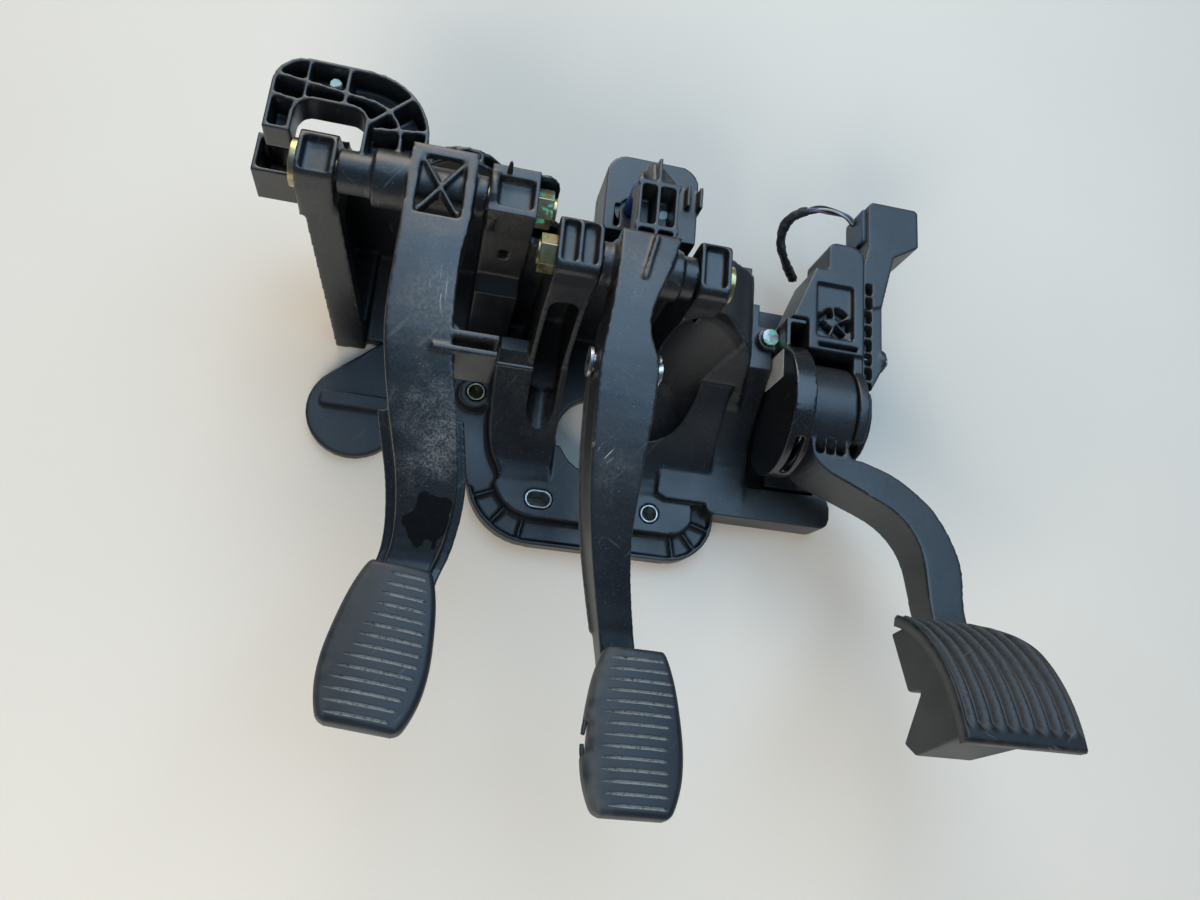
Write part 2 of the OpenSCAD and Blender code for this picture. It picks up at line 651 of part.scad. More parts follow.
// Hook beside the clutch arm's head: its walls, from the same few places
hook_right = clutch_x - 9;
hook_in_right = hook_right - 31;
hook_in_left = hook_in_right - hook_gap;
hook_left = hook_in_left - 13;
hook_in_top = clutch_pivot_y + 29;
hook_top = clutch_pivot_y + 52;
hook_tip = clutch_pivot_y + 10;
hook_z1 = pivot_z + 10;
hook_z0 = hook_z1 - hook_depth;
hook_turn = [hook_right - 33, hook_top - 33];
hook_bend = [hook_left + 16, hook_top - 16];
hook_in_r = 7;

// Outside and inside edges of the hook, moved into its wall by i.
function hook_outer(i) = concat([[hook_right - i, clutch_pivot_y]], arc(hook_turn, 33 - i, 0, 90, 8),
    arc(hook_bend, 16 - i, 90, 180, 5), [[hook_left + i, hook_tip + i]]);
function hook_inner(i) = concat([[hook_in_left - i, hook_tip + i]],
    arc([hook_in_left + hook_in_r, hook_in_top - hook_in_r], hook_in_r + i, 180, 90, 4),
    arc([hook_in_right - hook_in_r, hook_in_top - hook_in_r], hook_in_r + i, 90, 0, 4),
    [[hook_in_right + i, clutch_pivot_y]]);
module hook() {
    along_z(hook_z0, hook_z0 + rib) polygon(concat(hook_outer(0), hook_inner(0)));
    along_z(hook_z0, hook_z1) {
        difference() {
            polygon(concat(hook_outer(0), hook_inner(0)));
            polygon(concat(hook_outer(rib), hook_inner(rib)));
        }
        intersection() {
            polygon(concat(hook_outer(0), hook_inner(0)));
            union() {
                mid = (hook_top - hook_in_top) / 2;
                rib_path(concat([[hook_left, hook_in_top + mid]],
                    arc([hook_turn[0], hook_turn[1] - 3], 33 - mid - 2, 90, 0, 6),
                    [[hook_right - mid - 2, clutch_pivot_y]]), rib);
                rib_line([hook_left, hook_in_top], [hook_in_left + 4, hook_in_top - 2], rib);
                for (x = [hook_in_left + 3, hook_in_left + 22])
                    rib_line([x, hook_in_top - 9], [x, hook_top], rib);
                for (a = [8, 45])
                    rib_line(hook_turn + 6 * [cos(a), sin(a)], hook_turn + 34 * [cos(a), sin(a)], rib);
            }
        }
    }
}

window_w = 22;
window_x0 = clutch_x - window_w / 2;
window_x1 = clutch_x + window_w / 2;
window_y0 = clutch_pivot_y - 22;
window_y1 = clutch_pivot_y + 10;
fork_y = clutch_at(0.36);
module clutch_fork() {
    x0 = clutch_x + 7;
    x1 = clutch_x + 37;
    for (y = [fork_y, fork_y - 8]) translate([x0, y, pivot_z - 26]) cube([x1 - x0, arm_wall, 37]);
    along_z(pivot_z - 12, pivot_z - 9)
        polygon([[clutch_x + 12, fork_y], [x1 - 4, fork_y], [clutch_x + 12, fork_y + 18]]);
    shaft(x1 - 6, x1 + 20, fork_y + arm_wall / 2, pivot_z - 20, arm_wall);
}
module clutch_arm() {
    hub0 = clutch_left_x + side_gap;
    hub1 = clutch_right_x - side_gap;
    color(black) difference() {
        union() {
            difference() {
                channel_arm(clutch_plan, clutch_side);
                translate([window_x0, window_y0, pivot_z - 1])
                    cube([window_w, window_y1 - window_y0, big]);
            }
            intersection() {
                along_z(pivot_z + 6, pivot_z + 13) {
                    rib_line([window_x0, window_y0], [window_x1, window_y1], rib);
                    rib_line([window_x1, window_y0], [window_x0, window_y1], rib);
                }
                translate([window_x0, window_y0, 0])
                    cube([window_w, window_y1 - window_y0, big]);
            }
            arm_flanges(clutch_plan, clutch_side, clutch_at(0.86), clutch_at(0.5), 5);
            shaft(hub0, hub1, clutch_pivot_y, pivot_z, hub_od - 3);
            shaft(hub0 + 17, clutch_x - clutch_head_w / 2 + arm_wall, clutch_pivot_y, pivot_z, hub_od + 4);
            hook();
            clutch_fork();
            at_pad(clutch_pad_x, clutch_pad_y, -clutch_cant) pad_plate();
        }
        shaft(hub0 - 1, hub1 + 1, clutch_pivot_y, pivot_z, hub_bore);
    }
}
bush_l = 16;
module bush_pair(x0, x1, y) {
    difference() {
        union() {
            shaft(x0, x0 + bush_l, y, pivot_z, bush_od);
            shaft(x1 - bush_l, x1, y, pivot_z, bush_od);
        }
        shaft(x0 - 1, x1 + 1, y, pivot_z, bush_id);
    }
}
module clutch_bushes() {
    color("ivory") bush_pair(clutch_left_x + side_gap, clutch_right_x - side_gap, clutch_pivot_y);
}
module clutch_pad() {
    color(soft_black) at_pad(clutch_pad_x, clutch_pad_y, -clutch_cant) rubber_pad();
}

// Brake arm
function brake_at(f) = brake_pivot_y - f * brake_reach;
brake_plan = [
    [brake_pivot_y + 15, brake_x - 1, brake_head_w], [brake_at(0.02), brake_x - 4, brake_head_w - 5],
    [brake_at(0.15), brake_x - 9, brake_waist_w], [brake_at(0.27), brake_x - 7, brake_head_w - 2],
    [brake_at(0.48), brake_x - 7, brake_waist_w + 5], [brake_at(0.64), brake_x - 4, brake_waist_w - 1],
    [brake_at(0.85), brake_x + 6, brake_waist_w - 3], [brake_at(1.04), brake_pad_x, brake_waist_w]
];
brake_side = [
    [brake_pivot_y + 15, pivot_z + 13, 26], [brake_at(0.02), pivot_z + 15, 28],
    [brake_at(0.15), pivot_z + 15, 28], [brake_at(0.27), pivot_z + 13, 30],
    [brake_at(0.48), pivot_z + 3, 26], [brake_at(0.64), pivot_z - 9, 22],
    [brake_at(0.85), under_pad(brake_at(0.85), brake_pad_y), arm_depth],
    [brake_at(1.04), under_pad(brake_at(1.04), brake_pad_y), arm_depth - 4]
];
head_x0 = brake_x - 10;
head_x1 = brake_x + 12;
head_mid = (head_x0 + head_x1) / 2;
head_y0 = brake_pivot_y + 20;
head_y1 = brake_pivot_y + 45;
head_tip = brake_pivot_y + 60;
head_z0 = pivot_z - 6;
head_z1 = pivot_z + 10;
pin_y = pushrod_y;
pin_z = pivot_z - 3;
pin_d = 10;
pin_x0 = brake_x - 23;
pin_x1 = brake_x + 12;
clip_x = pin_x1 - 3;
clip_t = 1.5;

// Ribbed upper end of the brake lever, which holds the switch and meets the rest stop.
module brake_head() {
    plan = [[head_x0, head_y0 - 8], [head_x1, head_y0 - 8], [head_x1 + 1, head_y1], [head_mid + 1, head_tip],
            [head_mid - 5, head_tip - 1], [head_x0 + 1, head_tip - 9], [head_x0 + 1, head_y1]];
    along_z(head_z0, head_z0 + rib) polygon(plan);
    along_z(head_z0, head_z1) {
        rib_line([head_x0 + rib / 2, head_y0 - 8], [head_x0 + rib / 2 + 1, head_tip - 10], rib);
        rib_line([head_x1 - rib / 2, head_y0 - 8], [head_x1 - rib / 2, head_y1], rib);
        rib_line([head_mid, head_y0 - 10], [head_mid, head_tip], rib);
        for (y = [head_y0, head_y1]) rib_line([head_x0, y], [head_x1 + 1, y], rib + 0.6);
    }
    // Closed tip, sloped down towards its point
    intersection() {
        along_z(head_z0, head_z1) polygon(plan);
        along_x(head_x0, head_x1 + 1) polygon([[head_y1, head_z0], [head_y1, head_z1 - 1],
            [head_tip, head_z1 - 5], [head_tip, head_z0]]);
    }
    along_z(pivot_z, pivot_z + 16.5)
        rib_line([head_mid, head_y0 - 8], [head_mid - 5, brake_pivot_y - 12], rib);
}
module brake_arm() {
    hub0 = brake_left_x + side_gap;
    hub1 = brake_right_x - side_gap;
    color(black) difference() {
        union() {
            channel_arm(brake_plan, brake_side);
            arm_flanges(brake_plan, brake_side, brake_at(0.8), brake_at(0.12), 1.5);
            shaft(hub0, hub1, brake_pivot_y, pivot_z, hub_od - 2);
            shaft(hub0 + 6, hub1 - 8, brake_pivot_y, pivot_z, hub_od + 2);
            shaft(pin_x0 + 1, clip_x, pin_y, pin_z, pin_d + 8);
            brake_head();
            at_pad(brake_pad_x, brake_pad_y, 0) pad_plate();
        }
        shaft(hub0 - 1, hub1 + 1, brake_pivot_y, pivot_z, hub_bore);
        shaft(pin_x0 - 1, pin_x1 + 1, pin_y, pin_z, pin_d + 2 * seat_gap);
        // Room for the push-rod's eye between the pin's bosses
        translate([brake_x - 14, pin_y - 13, pivot_z - 40]) cube([14, 26, 40 + 10]);
    }
}
module brake_bushes() {
    color("ivory") bush_pair(brake_left_x + side_gap, brake_right_x - side_gap, brake_pivot_y);
}
module brake_pad() {
    color(soft_black) at_pad(brake_pad_x, brake_pad_y, 0) rubber_pad();
}
module pushrod_pin() {
    color(steel) {
        shaft(pin_x0, pin_x1, pin_y, pin_z, pin_d);
        shaft(pin_x0 - 2, pin_x0, pin_y, pin_z, pin_d + 5);
    }
}
module pushrod_clip() {
    color(steel) difference() {
        shaft(clip_x, clip_x + clip_t, pin_y, pin_z, pin_d + 7);
        shaft(clip_x - 1, clip_x + clip_t + 1, pin_y, pin_z, pin_d + 2 * seat_gap);
        translate([clip_x - 1, pin_y - 3, pin_z]) cube([clip_t + 2, 6, pin_d]);
    }
}

// Brake light switch, its cover and the rubber rest stops
shelf_z = 74;
cover_top = 100;
cover_r = 12;
cover_x0 = brake_x - 20;
cover_x1 = brake_x + 33;
cover_y0 = brake_pivot_y + 38;
cover_y1 = brake_pivot_y + 86;
switch_x = head_x0 + 5;
switch_y = brake_pivot_y + 53;
plunger_d = 8;
stop_d = 12;
// Outline of the switch cover, moved inwards by i.
function cover_outline(i) = concat(
    arc([cover_x1 - cover_r, cover_y1 - cover_r], cover_r - i, 0, 90, 6),
    arc([cover_x0 + cover_r, cover_y1 - cover_r], cover_r - i, 90, 180, 6),
    [[cover_x0 + i, cover_y0 + i], [cover_x1 - i, cover_y0 + i]]);
module switch_cover() {
    color(black) difference() {
        union() {
            along_z(shelf_z, cover_top) polygon(cover_outline(0));
            for (x = [cover_x1 - 8, cover_x1 - 1])
                translate([x, cover_y0 + 20, cover_top - 8]) cube([rib, 13, 14]);
        }
        along_z(shelf_z - 1, cover_top - wall) polygon(cover_outline(wall));
        translate([switch_x, switch_y, cover_top - wall - 1]) cylinder(d = plunger_d + 4, h = wall + 2);
        translate([cover_x0 + 6, cover_y0 + 3, cover_top - wall - 1]) cube([2.5, 14, wall + 2]);
    }
}
module brake_switch() {
    color("dimgray") difference() {
        translate([switch_x, switch_y, shelf_z]) cylinder(d = 18, h = cover_top - wall - shelf_z);
        translate([switch_x, switch_y, shelf_z + 3]) cylinder(d = plunger_d + 2 * run_gap, h = big);
    }
}
module switch_plunger() {
    color("royalblue") translate([switch_x, switch_y, shelf_z + 10])
        cylinder(d = plunger_d, h = head_z0 - stop_clear - shelf_z - 10);
}
module brake_stop_buffer() {
    color(soft_black) translate([head_mid + 4, head_y1 - 2, cover_top])
        cylinder(d1 = stop_d, d2 = stop_d - 3, h = head_z0 - stop_clear - cover_top);
}
clutch_stop_x = clutch_right_x - 55;
clutch_stop_y = clutch_back_y - back_wall_t / 2;
clutch_stop_z = 92;
stop_clear = 0.3;
module clutch_stop_buffer() {
    color(soft_black) translate([clutch_stop_x, clutch_stop_y, clutch_stop_z])
        cylinder(d1 = stop_d, d2 = stop_d - 3, h = hook_z0 - stop_clear - clutch_stop_z);
}

// Throttle module: places of its housing
housing_x1 = drum_x + drum_w + side_gap + 6;
left_cover_x1 = drum_x - side_gap;
upper_y0 = throttle_y + drum_r + 2;
upper_y1 = throttle_y + 103;
upper_z = throttle_z + 24;
plate_front = throttle_y - 20;
plate_r = drum_r + 1;
sensor_x1 = housing_x1 + 12;
sensor_thin_x1 = housing_x1 + 4;
sensor_r = drum_r - 4;
disc_r = drum_r + 9;
cover_back = upper_y0 + 18;
lug_at = [cover_left - 5, throttle_y + 41];
lug_t = 4;
screw_d = 5;
cover_screw_at = [[throttle_y - 8, throttle_z - 17], [upper_y0 + 2, throttle_z + 16],
    [upper_y1 - 30, throttle_z - 20]];
cover_screw_d = 3.5;

// Side view of a round side plate that runs up into the upper housing.
module side_plate(r, top) {
    intersection() {
        union() {
            translate([throttle_y, throttle_z]) circle(r = r);
            translate([throttle_y, module_z]) square([top - throttle_y, upper_z - 2 - module_z]);
        }
        translate([throttle_y - big, module_z]) square([2 * big, big]);
    }
}
module spoke_pocket(c, r, depth) {
    translate([0, 0, upper_z - 3 - depth]) difference() {
        translate([c[0], c[1], 0]) cylinder(r = r, h = depth + 4);
        along_z(-1, depth) for (a = [30:72:330])
            rib_line(c, c + (r + 1) * [cos(a), sin(a)], 1.6);
        translate([c[0] - r * 0.35, c[1], -1]) cylinder(r = r * 0.3, h = depth + 1);
    }
}
module throttle_housing() {
    color(black) difference() {
        union() {
            translate([drum_x, throttle_y - drum_r - 6, module_z]) cube([housing_x1 - drum_x, 40, 6]);
            intersection() {
                along_x(drum_x + drum_w + side_gap, housing_x1) side_plate(plate_r, upper_y1 - 8);
                translate([0, plate_front, 0]) cube([big, big, big]);
            }
            along_z(shroud_z0, upper_z) polygon(concat([[drum_x, upper_y0], [housing_x1, upper_y0]],
                arc([housing_x1 - 8, upper_y1 - 8], 8, 0, 90, 4),
                arc([housing_x1 - 18, upper_y1 - 5], 5, 90, 180, 4),
                [[housing_x1 - 23, upper_y1 - 18], [drum_x + 4, upper_y1 - 18],
                 [cover_left + 3, cover_back + side_gap], [drum_x, cover_back + side_gap]]));
            along_z(module_z, shroud_z0) polygon([[drum_x, upper_y0], [housing_x1, upper_y0],
                [housing_x1, upper_y1 - 10], [housing_x1 - 12, upper_y1 - 10], [drum_x + 14, cover_back]]);
        }
        // Hollow under the upper housing
        translate([drum_x + housing_wall, upper_y0 + housing_wall, module_z + 6])
            cube([housing_x1 - drum_x - 2 * housing_wall - 6, 15, upper_z - module_z - 20]);
        // Sunk face with the round spoked pocket
        translate([drum_x + 5, upper_y0 + 9, upper_z - 3]) cube([housing_x1 - drum_x - 12, 34, 4]);
        spoke_pocket([drum_x + 18, upper_y0 + 20], 9.5, 7);
        translate([drum_x + 7, upper_y0 + 14, upper_z - 9]) cube([3, 11, 10]);
        translate([drum_x + 6, upper_y0 + 2.5, upper_z - 5]) cube([housing_x1 - drum_x - 10, 2.5, 6]);
        shaft(drum_x, housing_x1 + 1, throttle_y, throttle_z, throttle_pin_d + 2 * seat_gap);
        for (p = cover_screw_at)
            shaft(housing_x1 - 5, housing_x1 + 1, p[0], p[1], cover_screw_d + 2 * seat_gap);
    }
}
module throttle_left_cover() {
    color(black) difference() {
        union() {
            along_x(cover_left, left_cover_x1) side_plate(disc_r, cover_back);
            along_z(block_h, block_h + lug_t) polygon(concat(arc(lug_at, 7, 90, 270, 8),
                [[cover_left + 1, lug_at[1] - 7], [cover_left + 1, lug_at[1] + 7]]));
        }
        along_x(cover_left + housing_wall, left_cover_x1 + 1) difference() {
            side_plate(disc_r - housing_wall, cover_back - housing_wall);
            translate([throttle_y, throttle_z]) circle(r = 22);
        }
        shaft(cover_left + housing_wall, left_cover_x1 + 1, throttle_y, throttle_z,
            throttle_pin_d + 2 * seat_gap);
        translate([lug_at[0], lug_at[1], block_h - 1]) cylinder(d = screw_d + 2 * seat_gap, h = lug_t + 2);
        // Slot along the round rim
        along_x(cover_left + 5, left_cover_x1 - 3) difference() {
            intersection() {
                translate([throttle_y, throttle_z]) circle(r = disc_r + 1);
                translate([throttle_y - disc_r - 2, throttle_z + 4]) square([24, 26]);
            }
            translate([throttle_y, throttle_z]) circle(r = disc_r - 4);
        }
    }
}
label_size = [17, 27];
label_t = 0.3;
module throttle_label() {
    color("silver") translate([cover_left - label_t, throttle_y + 14, throttle_z - 8])
        cube([label_t, label_size[0], label_size[1]]);
}
shroud_x1 = sensor_x1 + 24;
shroud_y1 = upper_y1 + 34;
shroud_z0 = throttle_z - 8;
ear_x1 = sensor_x1 + 3;
socket_at = [housing_x1 + 2, upper_y1 + 8, shroud_z0 + 4];
socket_size = [30, shroud_y1 - upper_y1 - 11, upper_z - shroud_z0 - 9];
board_t = 1.6;
board_size = [30, 28];
board_y0 = throttle_y - 6;
board_z0 = throttle_z - 14;
module throttle_sensor_cover() {
    color(black) difference() {
        union() {
            along_x(housing_x1, sensor_thin_x1) side_plate(sensor_r, upper_y1 - 10);
            along_z(shroud_z0, upper_z - 2) polygon([[housing_x1, upper_y0 - 22],
                [sensor_thin_x1, upper_y0 - 22], [sensor_x1, upper_y0 - 6], [sensor_x1, upper_y1 - 10],
                [housing_x1, upper_y1 - 10]]);
            // Ear with a screw on the outer side
            along_x(sensor_x1 - 1, ear_x1) translate(cover_screw_at[1]) circle(r = 7);
            // Neck and shroud of the connector
            along_z(shroud_z0, upper_z - 1) polygon([[housing_x1, upper_y1 - 40], [sensor_x1, upper_y1 - 36],
                [sensor_x1 + 8, upper_y1 - 2], [shroud_x1, upper_y1 + 8], [shroud_x1, shroud_y1 - 2],
                [shroud_x1 - 2, shroud_y1], [housing_x1 + 6, shroud_y1], [housing_x1 + 3, shroud_y1 - 3],
                [housing_x1 + 3, upper_y1 + 2], [housing_x1, upper_y1 - 10]]);
        }
        // Socket for the plug
        translate(socket_at) cube(socket_size);
        // Room for the circuit board
        translate([housing_x1 - 1, board_y0 - 1, board_z0 - 1])
            cube([board_t + 1.4, board_size[0] + 2, board_size[1] + 2]);
        // Ladder of cored pockets along the top edge
        for (i = [0:7]) translate([housing_x1 + 1.5, upper_y0 - 22 + i * 9, upper_z - 8]) cube([4, 7.2, 20]);
        for (p = cover_screw_at) shaft(housing_x1 - 1, big, p[0], p[1], cover_screw_d + 2 * seat_gap);
    }
}
module sensor_board() {
    color("darkgreen") translate([housing_x1, board_y0, board_z0]) difference() {
        cube([board_t, board_size[0], board_size[1]]);
        translate([-1, throttle_y - board_y0, throttle_z - board_z0]) rotate([0, 90, 0])
            cylinder(d = 6, h = 4);
    }
}
module throttle_pin() {
    color(steel) shaft(cover_left + housing_wall, housing_x1, throttle_y, throttle_z, throttle_pin_d);
}
module cover_screws() {
    color(steel) for (i = [0:2]) {
        p = cover_screw_at[i];
        top = i == 1 ? ear_x1 : sensor_thin_x1;
        shaft(housing_x1 - 4, top, p[0], p[1], cover_screw_d);
        shaft(top, top + 2, p[0], p[1], cover_screw_d + 4);
    }
}
module throttle_screws() {
    color("teal") translate([lug_at[0], lug_at[1], 0]) {
        translate([0, 0, block_h - 12]) cylinder(d = screw_d, h = 12 + lug_t);
        translate([0, 0, block_h + lug_t]) cylinder(d = screw_d + 5, h = 3);
    }
}

// Triangles between the n rings of a tube with the given number of sides.
function tube_walls(n, sides) = [for (i = [0:n - 2], k = [0:sides - 1], h = [0, 1])
    let (a = i * sides + k, b = i * sides + (k + 1) % sides)
    h == 0 ? [a, b, b + sides] : [a, b + sides, a + sides]];

// Return springs: two coils inside the drum's hollow left side
spring_wire = 2;
spring_turns = 4;
spring_steps = 14;
function spring_frame(t, r) = [spring_wire / 2 + 0.2 + t * spring_turns * (spring_wire + 0.6),
    r * cos(360 * spring_turns * t), r * sin(360 * spring_turns * t)];
module coil(r) {
    n = spring_turns * spring_steps;
    points = [for (i = [0:n], k = [0:5])
        let (p = spring_frame(i / n, r), a = 360 * spring_turns * i / n,
             q = spring_wire / 2 * [cos(60 * k), sin(60 * k)])
        [p[0] + q[1], p[1] + q[0] * cos(a), p[2] + q[0] * sin(a)]];
    faces = concat([[5, 4, 3, 2, 1, 0]], [[for (k = [0:5]) n * 6 + k]],
        tube_walls(n + 1, 6));
    polyhedron(points, faces, convexity = 8);
}
module throttle_springs() {
    color(steel) translate([left_cover_x1, throttle_y, throttle_z]) {
        coil(drum_r - 8);
        coil(drum_r - 12);
    }
}

// Throttle arm
throttle_pad_x = drum_x + 72;
throttle_pad_y = throttle_y - 148;
throttle_pad_z = throttle_z + 72;
arm_x1 = drum_x + drum_w - 1;
throttle_left_edge = [[drum_x + 4, throttle_y], [drum_x + 4, throttle_y - 26],
    [drum_x + 12, throttle_y - 38], [drum_x + 34, throttle_y - 48], [drum_x + 57, throttle_y - 60],
    [drum_x + 68, throttle_y - 78],
    [drum_x + 69, throttle_y - 104], [drum_x + 68, throttle_y - 134]];
throttle_right_edge = [[arm_x1, throttle_y], [arm_x1, throttle_y - 27], [arm_x1 + 10, throttle_y - 31],
    [arm_x1 + 30, throttle_y - 38], [arm_x1 + 52, throttle_y - 55], [arm_x1 + 64, throttle_y - 82],
    [arm_x1 + 62, throttle_y - 108], [arm_x1 + 61, throttle_y - 134]];
throttle_side = [[throttle_y, throttle_z + 25, 50], [throttle_y - 24, throttle_z + 22, 44],
    [throttle_y - 50, throttle_z + 22, 36], [throttle_y - 76, throttle_z + 25, 28],
    [throttle_y - 102, throttle_z + 30, 23], [throttle_y - 120, throttle_z + 36, 22],
    [throttle_y - 134, throttle_z + 44, 28]];
module throttle_arm() {
    color(black) difference() {
        union() {
            shaft(drum_x, drum_x + drum_w, throttle_y, throttle_z, 2 * drum_r);
            difference() {
                intersection() {
                    along_z(0, big)
                        polygon(concat(curve(throttle_left_edge), reversed(curve(throttle_right_edge))));
                    along_x(0, big) polygon(bar_side(throttle_side));
                }
                // Three-pocket recess where the arm leaves the drum
                for (i = [0:2])
                    translate([drum_x + 7 + i * 6, throttle_y - 29, throttle_z + 14]) cube([5, 13, 20]);
                // Hollow underside
                intersection() {
                    along_z(0, big) polygon(concat(
                        curve([for (p = throttle_left_edge) p + [arm_wall, arm_wall / 2]]),
                        reversed(curve([for (p = throttle_right_edge) p - [arm_wall, arm_wall / 2]]))));
                    along_x(0, big) polygon(bar_side(throttle_side, arm_wall + 1, 5));
                    translate([0, throttle_y - 121, 0]) cube([big, 121 - drum_r - 7, big]);
                }
            }
        }
        shaft(drum_x - 1, drum_x + drum_w + 1, throttle_y, throttle_z, throttle_pin_d + 2 * run_gap);
        // Seat of the pad's box
        translate([throttle_pad_x, throttle_pad_y, throttle_pad_z])
            along_x(-throttle_pad_w / 2, throttle_pad_w / 2) polygon(pad_box());
        // Spring chamber
        difference() {
            shaft(drum_x - 1, drum_x + drum_w - 10, throttle_y, throttle_z, 2 * drum_r - 8);
            shaft(drum_x - 2, drum_x + drum_w, throttle_y, throttle_z, throttle_pin_d + 8);
        }
        shaft(drum_x + drum_w - magnet_t, big, throttle_y, throttle_z, magnet_od + 2 * seat_gap);
    }
}
magnet_t = 3;
magnet_od = throttle_pin_d + 10;
module throttle_magnet() {
    color("dimgray") difference() {
        shaft(drum_x + drum_w - magnet_t, drum_x + drum_w, throttle_y, throttle_z, magnet_od);
        shaft(drum_x, big, throttle_y, throttle_z, throttle_pin_d + 2 * run_gap);
    }
}

// Throttle pad: a ribbed, arched plate on a boxed back
arch_r = 78;
pad_ribs = 6;
pad_corner = 34;
module arch(r0, r1) {
    along_x(-big / 2, big / 2) difference() {
        translate([0, -arch_sag()]) circle(r = r1, $fn = 120);
        translate([0, -arch_sag()]) circle(r = r0, $fn = 120);
    }
}
function arch_sag() = sqrt(arch_r * arch_r - throttle_pad_l * throttle_pad_l / 4);
module pad_face(inset) {
    x = throttle_pad_w / 2 - inset;
    y = throttle_pad_l / 2 - inset;
    linear_extrude(big / 2) polygon(concat([[-x, -y], [x, -y]],
        arc([x - pad_corner, y - pad_corner], pad_corner, 0, 90, 8), [[-x, y]]));
}
module throttle_pad() {
    color(soft_black) translate([throttle_pad_x, throttle_pad_y, throttle_pad_z]) {
        rotate([-throttle_tilt, 0, 0]) translate([0, 0, -20]) intersection() {
            pad_face(0);
            translate([0, 0, 20]) arch(arch_r - throttle_pad_t, arch_r);
        }
        rotate([-throttle_tilt, 0, 0]) translate([0, 0, -20]) intersection() {
            pad_face(4);
            translate([0, 0, 20]) arch(arch_r - 1, arch_r + 1.4);
            for (i = [0:pad_ribs - 1])
                translate([-throttle_pad_w / 2 + 5 + i * (throttle_pad_w - 8) / pad_ribs, -big / 2, 0])
                    cube([throttle_pad_w / pad_ribs * 0.55, big, big]);
        }
        difference() {
            along_x(-throttle_pad_w / 2 + 2, throttle_pad_w / 2 - 18) polygon(pad_box());
            along_x(-throttle_pad_w / 2 + 2 + housing_wall, throttle_pad_w / 2 - 18 - housing_wall)
                translate([0, -6]) polygon(pad_box());
            rotate([-throttle_tilt, 0, 0]) arch(arch_r - throttle_pad_t / 2, arch_r + big);
        }
    }
}
// Side view of the box behind the pad, from the pad's centre.
function pad_box() =
    let (h = throttle_pad_l / 2 * cos(throttle_tilt), v = throttle_pad_l / 2 * sin(throttle_tilt))
    [[h - 6, -v + 2], [h - 8, -v - 8], [-8, -22], [-8, -10], [-h - 3, -26], [-h - 8, -16],
     [-h, v - 3], [0, 8]];

// Connector plug and the wires that leave it
plug_x0 = housing_x1 + 1;
plug_clear = 0.2;
wire_d = 7;
module connector_plug() {
    color("steelblue") translate([plug_x0, socket_at[1] + plug_clear, socket_at[2] + plug_clear])
        cube([socket_at[0] + socket_size[0] - plug_x0, socket_size[1] - 2 * plug_clear,
              socket_size[2] - 2 * plug_clear]);
}
harness_route = [[plug_x0, 191, 66], [100, 196, 66], [84, 199, 62], [69, 194, 54], [67, 183, 44],
    [76, 173, 33], [86, 169, 22]];
function unit(v) = v / norm(v);
module tube(path, d, sides) {
    n = len(path);
    points = [for (i = [0:n - 1], k = [0:sides - 1])
        let (dir = unit(clamped(path, i + 1) - clamped(path, i - 1)), u = unit(cross(dir, [0.3, 0.2, 1])),
             w = cross(u, dir), a = 360 * k / sides)
        path[i] + d / 2 * (cos(a) * u + sin(a) * w)];
    faces = concat([[for (k = [sides - 1:-1:0]) k]], [[for (k = [0:sides - 1]) (n - 1) * sides + k]],
        tube_walls(n, sides));
    polyhedron(points, faces, convexity = 6);
}
module harness() {
    color([0.2, 0.2, 0.2]) tube(curve(harness_route, 2), wire_d, 10);
}

carrier();
round_sleeve();
slot_sleeve();
side_sleeve();
outrigger_foot();
clutch_pivot_bolt();
clutch_pivot_nut();
brake_pivot_bolt();
brake_pivot_nut();
clutch_stop_buffer();
brake_stop_buffer();
switch_cover();
brake_switch();
switch_plunger();
clutch_arm();
clutch_bushes();
clutch_pad();
brake_arm();
brake_bushes();
brake_pad();
pushrod_pin();
pushrod_clip();
throttle_housing();
throttle_left_cover();
throttle_sensor_cover();
throttle_label();
throttle_pin();
throttle_springs();
sensor_board();
throttle_screws();
cover_screws();
connector_plug();
harness();
throttle_arm();
throttle_magnet();
throttle_pad();
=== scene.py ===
"""Dresses a pedal box: clutch, brake and throttle pedals on one moulded carrier.

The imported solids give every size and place. This file rounds their edges, gives them their
finishes, and builds the rubber pads, the throttle pad, the wires and the small marks as pieces.
"""

from __future__ import annotations

import logging
import math
from dataclasses import dataclass, field
from enum import Enum

import bmesh
import bpy
import numpy as np
from mathutils import Matrix, Vector

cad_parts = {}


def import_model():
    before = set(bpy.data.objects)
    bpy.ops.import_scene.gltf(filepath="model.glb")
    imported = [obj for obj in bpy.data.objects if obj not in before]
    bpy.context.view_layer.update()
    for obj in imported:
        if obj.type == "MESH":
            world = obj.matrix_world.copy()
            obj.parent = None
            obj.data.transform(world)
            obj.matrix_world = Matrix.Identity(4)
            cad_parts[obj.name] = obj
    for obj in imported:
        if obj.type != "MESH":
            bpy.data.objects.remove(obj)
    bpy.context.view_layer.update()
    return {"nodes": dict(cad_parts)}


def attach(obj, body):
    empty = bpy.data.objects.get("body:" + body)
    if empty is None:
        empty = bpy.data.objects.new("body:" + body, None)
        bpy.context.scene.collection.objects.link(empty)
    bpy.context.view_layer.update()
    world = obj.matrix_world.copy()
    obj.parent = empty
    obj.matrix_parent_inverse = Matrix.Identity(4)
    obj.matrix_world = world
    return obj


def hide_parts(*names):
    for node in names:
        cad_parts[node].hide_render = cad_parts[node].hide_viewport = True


LOG = logging.getLogger("pedal_box")
MM = 0.001

Colour = tuple[float, float, float]
Point = tuple[float, float, float]
Socket = bpy.types.NodeSocket
Finishes = dict[str, bpy.types.Material]
Nodes = dict[str, bpy.types.Object]


